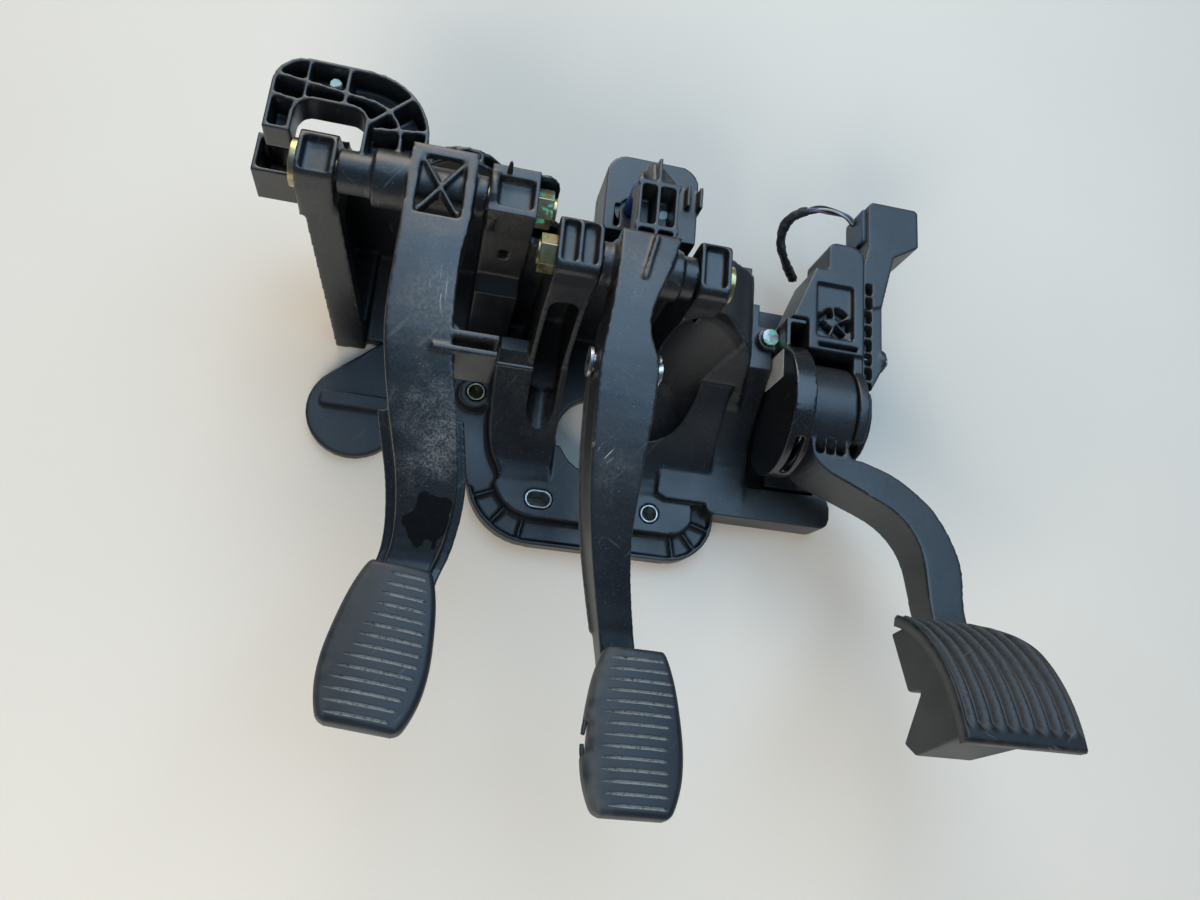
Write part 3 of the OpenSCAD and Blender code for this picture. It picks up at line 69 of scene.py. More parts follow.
class Body(Enum):
    """Bodies of the part that a piece can ride on."""

    CARRIER = "carrier_body"
    CLUTCH = "clutch_body"
    BRAKE = "brake_body"
    THROTTLE = "throttle_body"


@dataclass(frozen=True)
class Easing:
    """How edges are eased: by a bevel, or by melting on a grid of small cells, in millimetres."""

    bevel: float = 0.0
    cell: float = 0.0
    passes: int = 5
    keep: float = 0.3


class Edge(Enum):
    """Kinds of edge that the nodes have."""

    SHARP = Easing()
    TURNED = Easing(bevel=0.3)
    MOULDED = Easing(cell=0.8)
    LARGE = Easing(cell=1.0, passes=5, keep=0.22)


NodeRow = tuple[str, str, Edge]


class Mark(Enum):
    """What has happened to a place on a moulded face."""

    RUBBED = "rubbed"
    STAINED = "stained"
    SCRATCHED = "scratched"
    DUSTY = "dusty"


class NodeSheet:
    """Node tree of one material, with short calls for the nodes that the finishes share."""

    def __init__(self, name: str) -> None:
        """Starts a material with one principled shader.

        Args:
            name: name of the material.
        """
        self.material = bpy.data.materials.new(name)
        self.material.use_nodes = True
        self.tree = self.material.node_tree
        self.tree.nodes.clear()
        out = self.tree.nodes.new("ShaderNodeOutputMaterial")
        self.shader = self.tree.nodes.new("ShaderNodeBsdfPrincipled")
        self.tree.links.new(self.shader.outputs[0], out.inputs[0])
        place = self.tree.nodes.new("ShaderNodeTexCoord")
        self.place = place.outputs["Object"]
        self.facing = place.outputs["Normal"]

    def give(self, socket: Socket, value: Socket | float | Colour) -> None:
        """Links a socket to another one, or sets its value.

        Args:
            socket: the input that is fed.
            value: an output socket, a number or a colour.
        """
        if isinstance(value, bpy.types.NodeSocket):
            self.tree.links.new(value, socket)
        elif isinstance(value, tuple):
            whole = len(value) == len(socket.default_value)
            socket.default_value = value if whole else (*value, 1.0)
        else:
            socket.default_value = value

    def add(self, kind: str, **inputs: Socket | float | Colour) -> bpy.types.Node:
        """Adds a node and feeds its named inputs.

        Args:
            kind: Blender's name of the node type.
            inputs: values for the inputs of that name, with _ for a space.

        Returns:
            The new node.
        """
        node = self.tree.nodes.new(kind)
        for name, value in inputs.items():
            self.give(node.inputs[name.replace("_", " ")], value)
        return node

    def stretched(self, stretch: Point, turn: Point = (0.0, 0.0, 0.0)) -> Socket:
        """Object coordinates, turned and then scaled.

        Args:
            stretch: scale on each axis.
            turn: turn about each axis in radians.

        Returns:
            The coordinates' socket.
        """
        node = self.add("ShaderNodeMapping", Vector=self.place)
        node.vector_type = "TEXTURE"
        node.inputs["Rotation"].default_value = turn
        node.inputs["Scale"].default_value = [1.0 / s for s in stretch]
        return node.outputs[0]

    def noise(self, scale: float, detail: float = 2.0, at: Socket | None = None) -> Socket:
        """Soft noise between 0 and 1.

        Args:
            scale: features per metre.
            detail: number of finer layers.
            at: coordinates, or the object's own.

        Returns:
            The noise's value.
        """
        node = self.add("ShaderNodeTexNoise", Vector=at or self.place, Scale=scale, Detail=detail)
        return node.outputs["Fac"]

    def specks(self, scale: float, share: float, size: float) -> Socket:
        """Round specks in some of the cells of a random grid.

        Args:
            scale: cells per metre.
            share: share of the cells that hold a speck.
            size: radius of a speck as a share of a cell.

        Returns:
            1 on a speck and 0 elsewhere.
        """
        cells = self.add("ShaderNodeTexVoronoi", Vector=self.place, Scale=scale)
        lucky = self.add("ShaderNodeSeparateColor", Color=cells.outputs["Color"]).outputs[0]
        near = self.ramp(cells.outputs["Distance"], size, size * 0.4)
        return self.times(near, self.ramp(lucky, 1.0 - share, 1.0 - share + 0.001))

    def ramp(self, value: Socket, low: float, high: float, start: float = 0.0,
             end: float = 1.0) -> Socket:
        """Maps a value from low and high to start and end, and clamps it.

        Args:
            value: the value that is mapped.
            low: value that gives start.
            high: value that gives end.
            start: result at low.
            end: result at high.

        Returns:
            The mapped value.
        """
        node = self.tree.nodes.new("ShaderNodeMapRange")
        node.interpolation_type = "SMOOTHSTEP" if high > low else "LINEAR"
        limits = {"From Min": low, "From Max": high, "To Min": start, "To Max": end}
        for name, number in limits.items():
            node.inputs[name].default_value = number
        self.give(node.inputs["Value"], value)
        return node.outputs["Result"]

    def calc(self, operation: str, a: Socket | float, b: Socket | float = 0.0,
             clamp: bool = True) -> Socket:
        """One sum on two values.

        Args:
            operation: Blender's name of the sum.
            a: first value.
            b: second value.
            clamp: whether the result is kept between 0 and 1.

        Returns:
            The result.
        """
        node = self.tree.nodes.new("ShaderNodeMath")
        node.operation = operation
        node.use_clamp = clamp
        self.give(node.inputs[0], a)
        self.give(node.inputs[1], b)
        return node.outputs[0]

    def times(self, a: Socket | float, b: Socket | float) -> Socket:
        """Product of two values, kept between 0 and 1."""
        return self.calc("MULTIPLY", a, b)

    def plus(self, a: Socket | float, b: Socket | float) -> Socket:
        """Sum of two values, kept between 0 and 1."""
        return self.calc("ADD", a, b)

    def most(self, a: Socket | float, b: Socket | float) -> Socket:
        """Larger of two values, kept between 0 and 1."""
        return self.calc("MAXIMUM", a, b)

    def mix(self, share: Socket | float, a: Socket | Colour, b: Socket | Colour) -> Socket:
        """Mixes two colours.

        Args:
            share: share of the second colour.
            a: first colour.
            b: second colour.

        Returns:
            The mixed colour.
        """
        node = self.tree.nodes.new("ShaderNodeMix")
        node.data_type = "RGBA"
        self.give(node.inputs["Factor"], share)
        self.give(node.inputs[6], a)
        self.give(node.inputs[7], b)
        return node.outputs[2]

    def attribute(self, name: str) -> Socket:
        """Value of a mesh attribute, which is 0 where the mesh has none.

        Args:
            name: name of the attribute.

        Returns:
            Its value.
        """
        node = self.tree.nodes.new("ShaderNodeAttribute")
        node.attribute_name = name
        return node.outputs["Fac"]

    def upward(self) -> Socket:
        """1 on faces turned to the driver's side and 0 on upright and lower ones."""
        height = self.add("ShaderNodeSeparateXYZ", Vector=self.facing).outputs[2]
        return self.ramp(height, 0.2, 0.95)

    def worn_edge(self, radius: float) -> Socket:
        """Mask of the edges that hands and tools have rubbed.

        Args:
            radius: width of the rubbed edge in metres.

        Returns:
            1 on an edge and 0 on open faces.
        """
        soft = self.tree.nodes.new("ShaderNodeBevel")
        soft.samples = 4
        soft.inputs["Radius"].default_value = radius
        plain = self.tree.nodes.new("ShaderNodeNewGeometry").outputs["Normal"]
        dot = self.tree.nodes.new("ShaderNodeVectorMath")
        dot.operation = "DOT_PRODUCT"
        self.give(dot.inputs[0], soft.outputs[0])
        self.give(dot.inputs[1], plain)
        return self.ramp(dot.outputs["Value"], 0.985, 0.86)

    def crevice(self, reach: float) -> Socket:
        """1 deep in corners and pockets and 0 on open faces.

        Args:
            reach: distance in metres over which a corner counts.

        Returns:
            The mask.
        """
        node = self.tree.nodes.new("ShaderNodeAmbientOcclusion")
        node.samples = 4
        node.only_local = True
        node.inputs["Distance"].default_value = reach
        return self.ramp(node.outputs["AO"], 0.75, 0.25)

    def near(self, centre: Point, radius: float, ragged: float, soft: float,
             fine: float = 4.0) -> Socket:
        """Ragged patch round a point.

        Args:
            centre: the patch's centre in millimetres.
            radius: its radius in millimetres.
            ragged: how far its outline wanders, as a share of the radius.
            soft: width of its fading edge, as a share of the radius.
            fine: number of finer layers in its outline.

        Returns:
            1 in the patch and 0 outside.
        """
        away = self.tree.nodes.new("ShaderNodeVectorMath")
        away.operation = "DISTANCE"
        self.give(away.inputs[0], self.place)
        away.inputs[1].default_value = [c * MM for c in centre]
        sway = ragged * radius * MM
        wander = self.ramp(self.noise(1300.0 / radius, fine), 0.25, 0.75, -sway, sway)
        reach = self.calc("ADD", away.outputs["Value"], wander, clamp=False)
        return self.ramp(reach, radius * MM, radius * (1.0 - soft) * MM)

    def fibres(self, scale: float, turn: float, thin: float = 0.57) -> Socket:
        """Hair-like lines across the faces that look to the driver.

        Args:
            scale: lines per metre along their length.
            turn: their direction in radians.
            thin: level of the noise above which a line shows.

        Returns:
            1 on a line and 0 between them.
        """
        line = self.noise(scale, 3.0, self.stretched((1.0, 13.0, 2.0), (0.0, 0.0, turn)))
        return self.ramp(line, thin, thin + 0.09)

    def bump(self, height: Socket, depth: float, normal: Socket | None = None) -> Socket:
        """Fine relief.

        Args:
            height: the relief's height between 0 and 1.
            depth: its depth in metres.
            normal: relief under it.

        Returns:
            The bent normal.
        """
        node = self.add("ShaderNodeBump", Height=height, Strength=1.0, Distance=depth)
        if normal is not None:
            self.give(node.inputs["Normal"], normal)
        return node.outputs[0]

    def finish(self, **inputs: Socket | float | Colour) -> bpy.types.Material:
        """Feeds the shader's named inputs.

        Args:
            inputs: values for the inputs of that name, with _ for a space.

        Returns:
            The finished material.
        """
        for name, value in inputs.items():
            self.give(self.shader.inputs[name.replace("_", " ")], value)
        return self.material


@dataclass(frozen=True)
class Patch:
    """A place on a moulded face that is rubbed, scratched, dusty or stained, in millimetres."""

    mark: Mark
    at: Point
    radius: float
    strength: float = 0.6
    turn: float = 0.6

    def mask(self, sheet: NodeSheet) -> Socket:
        """How strongly the mark shows.

        Args:
            sheet: the material's nodes.

        Returns:
            A value between 0 and 1.
        """
        if self.mark is Mark.STAINED:
            wet = sheet.near(self.at, self.radius, 0.46, 0.08, 0.9)
            return sheet.times(wet, self.strength)
        spread = sheet.near(self.at, self.radius, 0.5, 0.75)
        if self.mark is Mark.RUBBED:
            lines = sheet.most(sheet.fibres(300.0, self.turn), sheet.fibres(340.0, self.turn + 1.1))
            lines = sheet.most(lines, sheet.fibres(150.0, self.turn - 0.8, 0.62))
            powder = sheet.ramp(sheet.noise(1050.0, 4.0), 0.36, 0.68)
            powder = sheet.times(powder, sheet.ramp(sheet.noise(120.0, 3.0), 0.32, 0.62))
            lines = sheet.plus(sheet.times(lines, 0.45), sheet.times(powder, 0.7))
        elif self.mark is Mark.SCRATCHED:
            lines = sheet.most(sheet.fibres(70.0, self.turn, 0.63),
                               sheet.fibres(90.0, self.turn + 0.25, 0.65))
        else:
            lines = sheet.ramp(sheet.noise(620.0, 3.0), 0.3, 0.7)
        return sheet.times(sheet.times(spread, lines), self.strength)

    def tint(self) -> Colour:
        """Colour of the mark."""
        return {Mark.RUBBED: (0.17, 0.175, 0.175), Mark.STAINED: (0.0028, 0.003, 0.0034),
                Mark.SCRATCHED: (0.55, 0.55, 0.53), Mark.DUSTY: (0.16, 0.145, 0.115)}[self.mark]


@dataclass(frozen=True)
class MouldedPlastic:
    """Black glass-filled plastic with a fine grain, dust in its corners and rubbed edges."""

    name: str
    colour: Colour = (0.0043, 0.0053, 0.0069)
    roughness: float = 0.37
    dust: float = 0.2
    specks: float = 0.10
    scratches: float = 0.35
    wear: float = 0.5
    dust_colour: Colour = (0.15, 0.142, 0.128)
    gloss: float = 0.85
    patches: tuple[Patch, ...] = ()
    powder_colour: Colour = (0.030, 0.035, 0.040)
    speck_colour: Colour = (0.30, 0.29, 0.27)
    scratch_colour: Colour = (0.10, 0.105, 0.11)
    edge_colour: Colour = (0.085, 0.088, 0.092)

    def material(self) -> bpy.types.Material:
        """Builds the finish.

        Returns:
            The material.
        """
        sheet = NodeSheet(self.name)
        cloud = sheet.noise(26.0, 4.0)
        grain = sheet.noise(1500.0, 2.0)
        dark = tuple(c * 0.75 for c in self.colour)
        light = tuple(c * 1.35 for c in self.colour)
        tone = sheet.mix(sheet.ramp(cloud, 0.3, 0.7), dark, light)
        powder = sheet.ramp(sheet.noise(900.0, 3.0), 0.50, 0.72)
        tone = sheet.mix(sheet.times(powder, 0.4), tone, self.powder_colour)
        film = sheet.times(sheet.ramp(sheet.noise(14.0, 6.0), 0.48, 0.74), sheet.upward())
        corner = sheet.times(sheet.crevice(0.007), sheet.ramp(sheet.noise(70.0, 4.0), 0.38, 0.66))
        dusty = sheet.plus(sheet.times(film, 0.35), corner)
        dusty = sheet.times(dusty, self.dust)
        tone = sheet.mix(dusty, tone, self.dust_colour)
        speck = sheet.times(sheet.specks(560.0, self.specks, 0.17), 0.5)
        tone = sheet.mix(speck, tone, self.speck_colour)
        scratch = sheet.most(sheet.fibres(26.0, 0.9, 0.66), sheet.fibres(30.0, -0.5, 0.68))
        tone = sheet.mix(sheet.times(scratch, self.scratches), tone, self.scratch_colour)
        rubbed = sheet.times(sheet.worn_edge(0.0012), sheet.ramp(cloud, 0.35, 0.65))
        tone = sheet.mix(sheet.times(rubbed, self.wear), tone, self.edge_colour)
        rough = sheet.ramp(cloud, 0.25, 0.75, self.roughness - 0.06, self.roughness + 0.07)
        rough = sheet.plus(rough, sheet.times(dusty, 0.5))
        shine: Socket | float = self.gloss
        for patch in self.patches:
            spot = patch.mask(sheet)
            tone = sheet.mix(spot, tone, patch.tint())
            if patch.mark is Mark.STAINED:
                shine = sheet.ramp(spot, 0.0, 1.0, self.gloss, self.gloss * 0.25)
            else:
                rough = sheet.plus(rough, sheet.times(spot, 0.25))
        relief = sheet.bump(sheet.noise(120.0, 2.0), 0.00016)
        relief = sheet.bump(grain, 0.00005, relief)
        return sheet.finish(Base_Color=tone, Roughness=rough, Normal=relief,
                            Specular_IOR_Level=shine)


@dataclass(frozen=True)
class WornRubber:
    """Dark rubber, polished by shoes, with road dust in its grooves and along its rim; on the
    throttle tread the groove mix is a painted highlight on the rib tops.
    """

    name: str
    colour: Colour = (0.0125, 0.0160, 0.0205)
    dust_colour: Colour = (0.50, 0.485, 0.44)
    roughness: float = 0.44
    rim_colour: Colour = (0.085, 0.085, 0.078)
    line_colour: Colour = (0.13, 0.14, 0.14)
    speck_colour: Colour = (0.3, 0.29, 0.27)

    def material(self) -> bpy.types.Material:
        """Builds the finish.

        Returns:
            The material.
        """
        sheet = NodeSheet(self.name)
        cloud = sheet.noise(45.0, 3.0)
        dark = tuple(c * 0.85 for c in self.colour)
        light = tuple(c * 1.2 for c in self.colour)
        tone = sheet.mix(sheet.ramp(cloud, 0.3, 0.7), dark, light)
        rim = sheet.times(sheet.attribute("rim"), sheet.ramp(sheet.noise(130.0, 6.0), 0.3, 0.68))
        tone = sheet.mix(sheet.times(rim, 0.75), tone, self.rim_colour)
        # Groove mix: real dust in the grooves of the clutch and brake pads; on the throttle tread
        # it paints a lighter highlight on the rib tops.
        groove = sheet.times(sheet.attribute("groove"),
                             sheet.ramp(sheet.noise(700.0, 3.0), 0.22, 0.55))
        tone = sheet.mix(sheet.times(groove, 0.9), tone, self.dust_colour)
        lines = sheet.most(sheet.fibres(40.0, 0.8, 0.68), sheet.fibres(55.0, -0.4, 0.69))
        tone = sheet.mix(sheet.times(lines, 0.4), tone, self.line_colour)
        speck = sheet.times(sheet.specks(500.0, 0.05, 0.15), 0.4)
        tone = sheet.mix(speck, tone, self.speck_colour)
        rough = sheet.ramp(cloud, 0.25, 0.75, self.roughness - 0.05, self.roughness + 0.07)
        rough = sheet.plus(rough, sheet.times(groove, 0.4))
        rough = sheet.plus(rough, sheet.times(rim, 0.2))
        relief = sheet.bump(sheet.noise(1500.0, 2.0), 0.00004)
        return sheet.finish(Base_Color=tone, Roughness=rough, Normal=relief)


@dataclass(frozen=True)
class PlatedSteel:
    """Plated or bright steel with faint turning marks, dulled in places."""

    name: str
    colour: Colour
    tint: Colour
    roughness: float = 0.32
    paint: Colour | None = None
    dull_colour: Colour = (0.16, 0.14, 0.11)

    def material(self) -> bpy.types.Material:
        """Builds the finish.

        Returns:
            The material.
        """
        sheet = NodeSheet(self.name)
        cloud = sheet.noise(190.0, 4.0)
        tone = sheet.mix(sheet.ramp(cloud, 0.35, 0.65), self.colour, self.tint)
        dull = sheet.ramp(sheet.noise(420.0, 3.0), 0.55, 0.7)
        tone = sheet.mix(sheet.times(dull, 0.5), tone, self.dull_colour)
        rough = sheet.ramp(cloud, 0.3, 0.7, self.roughness - 0.08, self.roughness + 0.14)
        marks = sheet.noise(900.0, 2.0, sheet.stretched((6.0, 1.0, 1.0)))
        relief = sheet.bump(marks, 0.00004)
        if self.paint is None:
            return sheet.finish(Base_Color=tone, Roughness=rough, Normal=relief, Metallic=1.0)
        mark = sheet.ramp(sheet.noise(170.0, 2.0), 0.52, 0.57)
        tone = sheet.mix(mark, tone, self.paint)
        metal = sheet.calc("SUBTRACT", 1.0, mark)
        return sheet.finish(Base_Color=tone, Roughness=rough, Normal=relief, Metallic=metal)


@dataclass(frozen=True)
class PlainFinish:
    """Paint, film, sheath or board: one colour with fine mottling, scuffs and relief."""

    name: str
    colour: Colour
    roughness: float = 0.5
    mottle: float = 0.35
    fine: float = 700.0
    depth: float = 0.00003
    scuff: Colour = (0.12, 0.12, 0.115)
    metal: float = 0.0

    def material(self) -> bpy.types.Material:
        """Builds the finish.

        Returns:
            The material.
        """
        sheet = NodeSheet(self.name)
        cloud = sheet.noise(120.0, 4.0)
        dark = tuple(c * (1 - self.mottle) for c in self.colour)
        light = tuple(min(1.0, c * (1 + self.mottle * 0.6)) for c in self.colour)
        tone = sheet.mix(sheet.ramp(cloud, 0.3, 0.7), dark, light)
        rub = sheet.ramp(sheet.noise(330.0, 4.0), 0.6, 0.72)
        tone = sheet.mix(sheet.times(rub, 0.45), tone, self.scuff)
        rough = sheet.ramp(cloud, 0.3, 0.7, self.roughness - 0.06, self.roughness + 0.1)
        relief = sheet.bump(sheet.noise(self.fine, 2.0), self.depth)
        return sheet.finish(Base_Color=tone, Roughness=rough, Normal=relief, Metallic=self.metal)


@dataclass
class Sketch:
    """Points and faces of a mesh in millimetres, gathered before it becomes an object."""

    points: list[np.ndarray] = field(default_factory=list)
    faces: list[tuple[int, ...]] = field(default_factory=list)
    slots: list[int] = field(default_factory=list)
    values: dict[str, list[float]] = field(default_factory=dict)

    def count(self) -> int:
        """Number of points so far."""
        return len(self.points)

    def add_points(self, rows: np.ndarray, **values: np.ndarray) -> int:
        """Adds points and their values.

        Args:
            rows: the points, one in a row.
            values: one number for each point, by attribute name.

        Returns:
            The first new point's index.
        """
        start = self.count()
        for name in set(values) | set(self.values):
            kept = self.values.setdefault(name, [0.0] * start)
            kept.extend(values[name] if name in values else [0.0] * len(rows))
        self.points.extend(np.asarray(rows, float))
        return start

    def add_face(self, corners: list[int], slot: int = 0) -> None:
        """Adds one face with the material of that slot."""
        self.faces.append(tuple(corners))
        self.slots.append(slot)

    def grid(self, start: int, rows: int, columns: int, closed: bool = False,
             slot: int = 0) -> None:
        """Joins rows of points to quads.

        Args:
            start: index of the first point.
            rows: number of rows.
            columns: points in a row.
            closed: whether each row closes on itself.
            slot: material slot of the faces.
        """
        last = columns if closed else columns - 1
        for i in range(rows - 1):
            for k in range(last):
                a, b = start + i * columns + k, start + i * columns + (k + 1) % columns
                self.add_face([a, b, b + columns, a + columns], slot)

    def tube(self, path: np.ndarray, radius: np.ndarray | float, sides: int = 10,
             slot: int = 0) -> None:
        """Adds a round tube with closed ends.

        Args:
            path: centre line, one point in a row.
            radius: one radius, one for each point, or one for each point and side.
            sides: points round the tube.
            slot: material slot of the faces.
        """
        path = np.asarray(path, float)
        radii = np.asarray(radius, float)
        radii = radii if radii.ndim == 2 else radii.reshape(-1, 1)
        radii = np.broadcast_to(radii, (len(path), sides))
        along = np.gradient(path, axis=0)
        along /= np.linalg.norm(along, axis=1)[:, None]
        side = np.cross(along[0], (0.3, 0.2, 1.0))
        start = self.count()
        for i, point in enumerate(path):
            side = side - along[i] * (side @ along[i])
            side /= np.linalg.norm(side)
            other = np.cross(along[i], side)
            turn = np.linspace(0, 2 * math.pi, sides, endpoint=False)
            ring = np.outer(np.cos(turn), side) + np.outer(np.sin(turn), other)
            self.add_points(point + radii[i][:, None] * ring)
        self.grid(start, len(path), sides, closed=True, slot=slot)
        self.add_face([start + k for k in range(sides)][::-1], slot)
        self.add_face([start + (len(path) - 1) * sides + k for k in range(sides)], slot)

    def lathe(self, profile: list[tuple[float, float]], axis: Matrix, sides: int = 24,
              slot: int = 0) -> None:
        """Adds a turned form with closed ends.

        Args:
            profile: [radius, height] from bottom to top.
            axis: places the turned form, whose axis is Z.
            sides: points round it.
            slot: material slot of the faces.
        """
        start = self.count()
        turn = np.linspace(0, 2 * math.pi, sides, endpoint=False)
        for radius, height in profile:
            ring = [axis @ Vector((radius * math.cos(t), radius * math.sin(t), height))
                    for t in turn]
            self.add_points(np.array(ring))
        self.grid(start, len(profile), sides, closed=True, slot=slot)
        self.add_face([start + k for k in range(sides)][::-1], slot)
        self.add_face([start + (len(profile) - 1) * sides + k for k in range(sides)], slot)

    def prism(self, low: np.ndarray, high: np.ndarray, slot: int = 0) -> None:
        """Adds a closed solid between two outlines with the same number of points.

        Args:
            low: points of the first outline.
            high: points of the second outline.
            slot: material slot of the faces.
        """
        n = len(low)
        start = self.add_points(np.vstack([low, high]))
        self.grid(start, 2, n, closed=True, slot=slot)
        self.add_face([start + k for k in range(n)][::-1], slot)
        self.add_face([start + n + k for k in range(n)], slot)

    def moved(self, place: Matrix) -> Sketch:
        """Moves all points.

        Args:
            place: the move, in millimetres.

        Returns:
            The same sketch.
        """
        turn = np.array(place.to_3x3())
        self.points = [turn @ p + np.array(place.translation) for p in self.points]
        return self

    def piece(self, name: str, materials: list[bpy.types.Material],
              smooth: bool = True) -> bpy.types.Object:
        """Makes the object, in metres, with its faces turned outwards.

        Args:
            name: name of the piece.
            materials: its materials, by slot.
            smooth: whether it is shaded smooth.

        Returns:
            The new object.
        """
        mesh = bpy.data.meshes.new(name)
        mesh.from_pydata([tuple(p * MM) for p in self.points], [], self.faces)
        for material in materials:
            mesh.materials.append(material)
        mesh.polygons.foreach_set("material_index", self.slots)
        mesh.polygons.foreach_set("use_smooth", [smooth] * len(self.faces))
        for key, numbers in self.values.items():
            mesh.attributes.new(key, "FLOAT", "POINT").data.foreach_set("value", numbers)
        mesh.validate()
        outwards(mesh)
        made = bpy.data.objects.new(name, mesh)
        bpy.context.scene.collection.objects.link(made)
        return made


def outwards(mesh: bpy.types.Mesh) -> None:
    """Turns the faces of a mesh outwards.

    Args:
        mesh: the mesh, which is changed in place.
    """
    work = bmesh.new()
    work.from_mesh(mesh)
    bmesh.ops.recalc_face_normals(work, faces=work.faces)
    work.to_mesh(mesh)
    work.free()


def welded(piece: bpy.types.Object) -> None:
    """Shades a piece smooth and joins its double points with a modifier.

    Args:
        piece: the object.
    """
    mesh = piece.data
    custom = mesh.attributes.get("custom_normal")
    if custom is not None:
        mesh.attributes.remove(custom)
    mesh.polygons.foreach_set("use_smooth", [True] * len(mesh.polygons))
    piece.modifiers.new("weld", "WELD").merge_threshold = 0.00002


def rounded(piece: bpy.types.Object, width: float, angle: float = 32.0, segments: int = 2) -> None:
    """Rounds the edges of a piece with modifiers, and leaves its own points alone.

    Args:
        piece: the object.
        width: width of the rounding in millimetres.
        angle: edges that turn more than this many degrees are rounded.
        segments: faces across the rounding.
    """
    welded(piece)
    bevel = piece.modifiers.new("round", "BEVEL")
    bevel.width = width * MM
    bevel.segments = segments
    bevel.limit_method = "ANGLE"
    bevel.angle_limit = math.radians(angle)
    bevel.loop_slide = False
    bevel.use_clamp_overlap = False
    bevel.miter_outer = "MITER_ARC"
    piece.modifiers.new("even", "WEIGHTED_NORMAL").keep_sharp = False


def melted(piece: bpy.types.Object, easing: Easing) -> None:
    """Rounds edges and inner corners alike with modifiers, and leaves the piece's own points alone.

    Args:
        piece: the object.
        easing: size of the cells, smoothing passes and share of the faces kept.
    """
    welded(piece)
    cells = piece.modifiers.new("cells", "REMESH")
    cells.mode = "VOXEL"
    cells.voxel_size = easing.cell * MM
    cells.use_smooth_shade = True
    soft = piece.modifiers.new("soft", "SMOOTH")
    soft.factor = 0.5
    soft.iterations = easing.passes
    piece.modifiers.new("thin", "DECIMATE").ratio = easing.keep


def smooth_curve(points: np.ndarray, steps: int) -> np.ndarray:
    """Smooth curve through points, as the part's own curves run.

    Args:
        points: the points, one in a row.
        steps: steps between two points.

    Returns:
        The points of the curve.
    """
    points = np.asarray(points, float)
    n = len(points)
    rows = []
    for i in range(n - 1):
        a, b, c, d = (points[min(max(k, 0), n - 1)] for k in (i - 1, i, i + 1, i + 2))
        for t in np.arange(steps) / steps:
            rows.append((2 * b + (c - a) * t + (2 * a - 5 * b + 4 * c - d) * t**2
                         + (3 * b - a - 3 * c + d) * t**3) / 2)
    return np.array(rows + [points[-1]])


def rim_loop(rows: int, columns: int) -> list[int]:
    """Outer points of a grid, once round it.

    Args:
        rows: number of rows.
        columns: points in a row.

    Returns:
        The points' indices in order.
    """
    right = [r * columns + columns - 1 for r in range(1, rows)]
    bottom = [(rows - 1) * columns + k for k in range(columns - 2, -1, -1)]
    left = [r * columns for r in range(rows - 2, 0, -1)]
    return [*range(columns), *right, *bottom, *left]


def reported(piece: bpy.types.Object, body: Body, slot: str | None = None,
             *nodes: str) -> bpy.types.Object:
    """Puts a piece on its body and logs it.

    Args:
        piece: the finished piece.
        body: the body that it rides on.
        slot: not used.
        nodes: CAD nodes that it stands for.

    Returns:
        The same piece.
    """
    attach(piece, body.value)
    if nodes:
        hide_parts(*nodes)
    LOG.info("piece %s rides on %s", piece.name, body.value)
    return piece


@dataclass(frozen=True)
class Lamp:
    """Soft square lamp, in metres and watts, which glossy faces mirror or not."""

    name: str
    at: Point
    towards: Point
    size: float
    power: float
    colour: Colour
    mirrored: bool = True

    def hang(self) -> None:
        """Hangs the lamp so that it faces its point."""
        data = bpy.data.lights.new(self.name, "AREA")
        data.size = self.size
        data.energy = self.power
        data.color = self.colour
        lamp = bpy.data.objects.new(self.name, data)
        lamp.location = self.at
        lamp.visible_glossy = self.mirrored
        way = Vector(self.towards) - Vector(self.at)
        lamp.rotation_euler = way.to_track_quat("-Z", "Y").to_euler()
        bpy.context.scene.collection.objects.link(lamp)


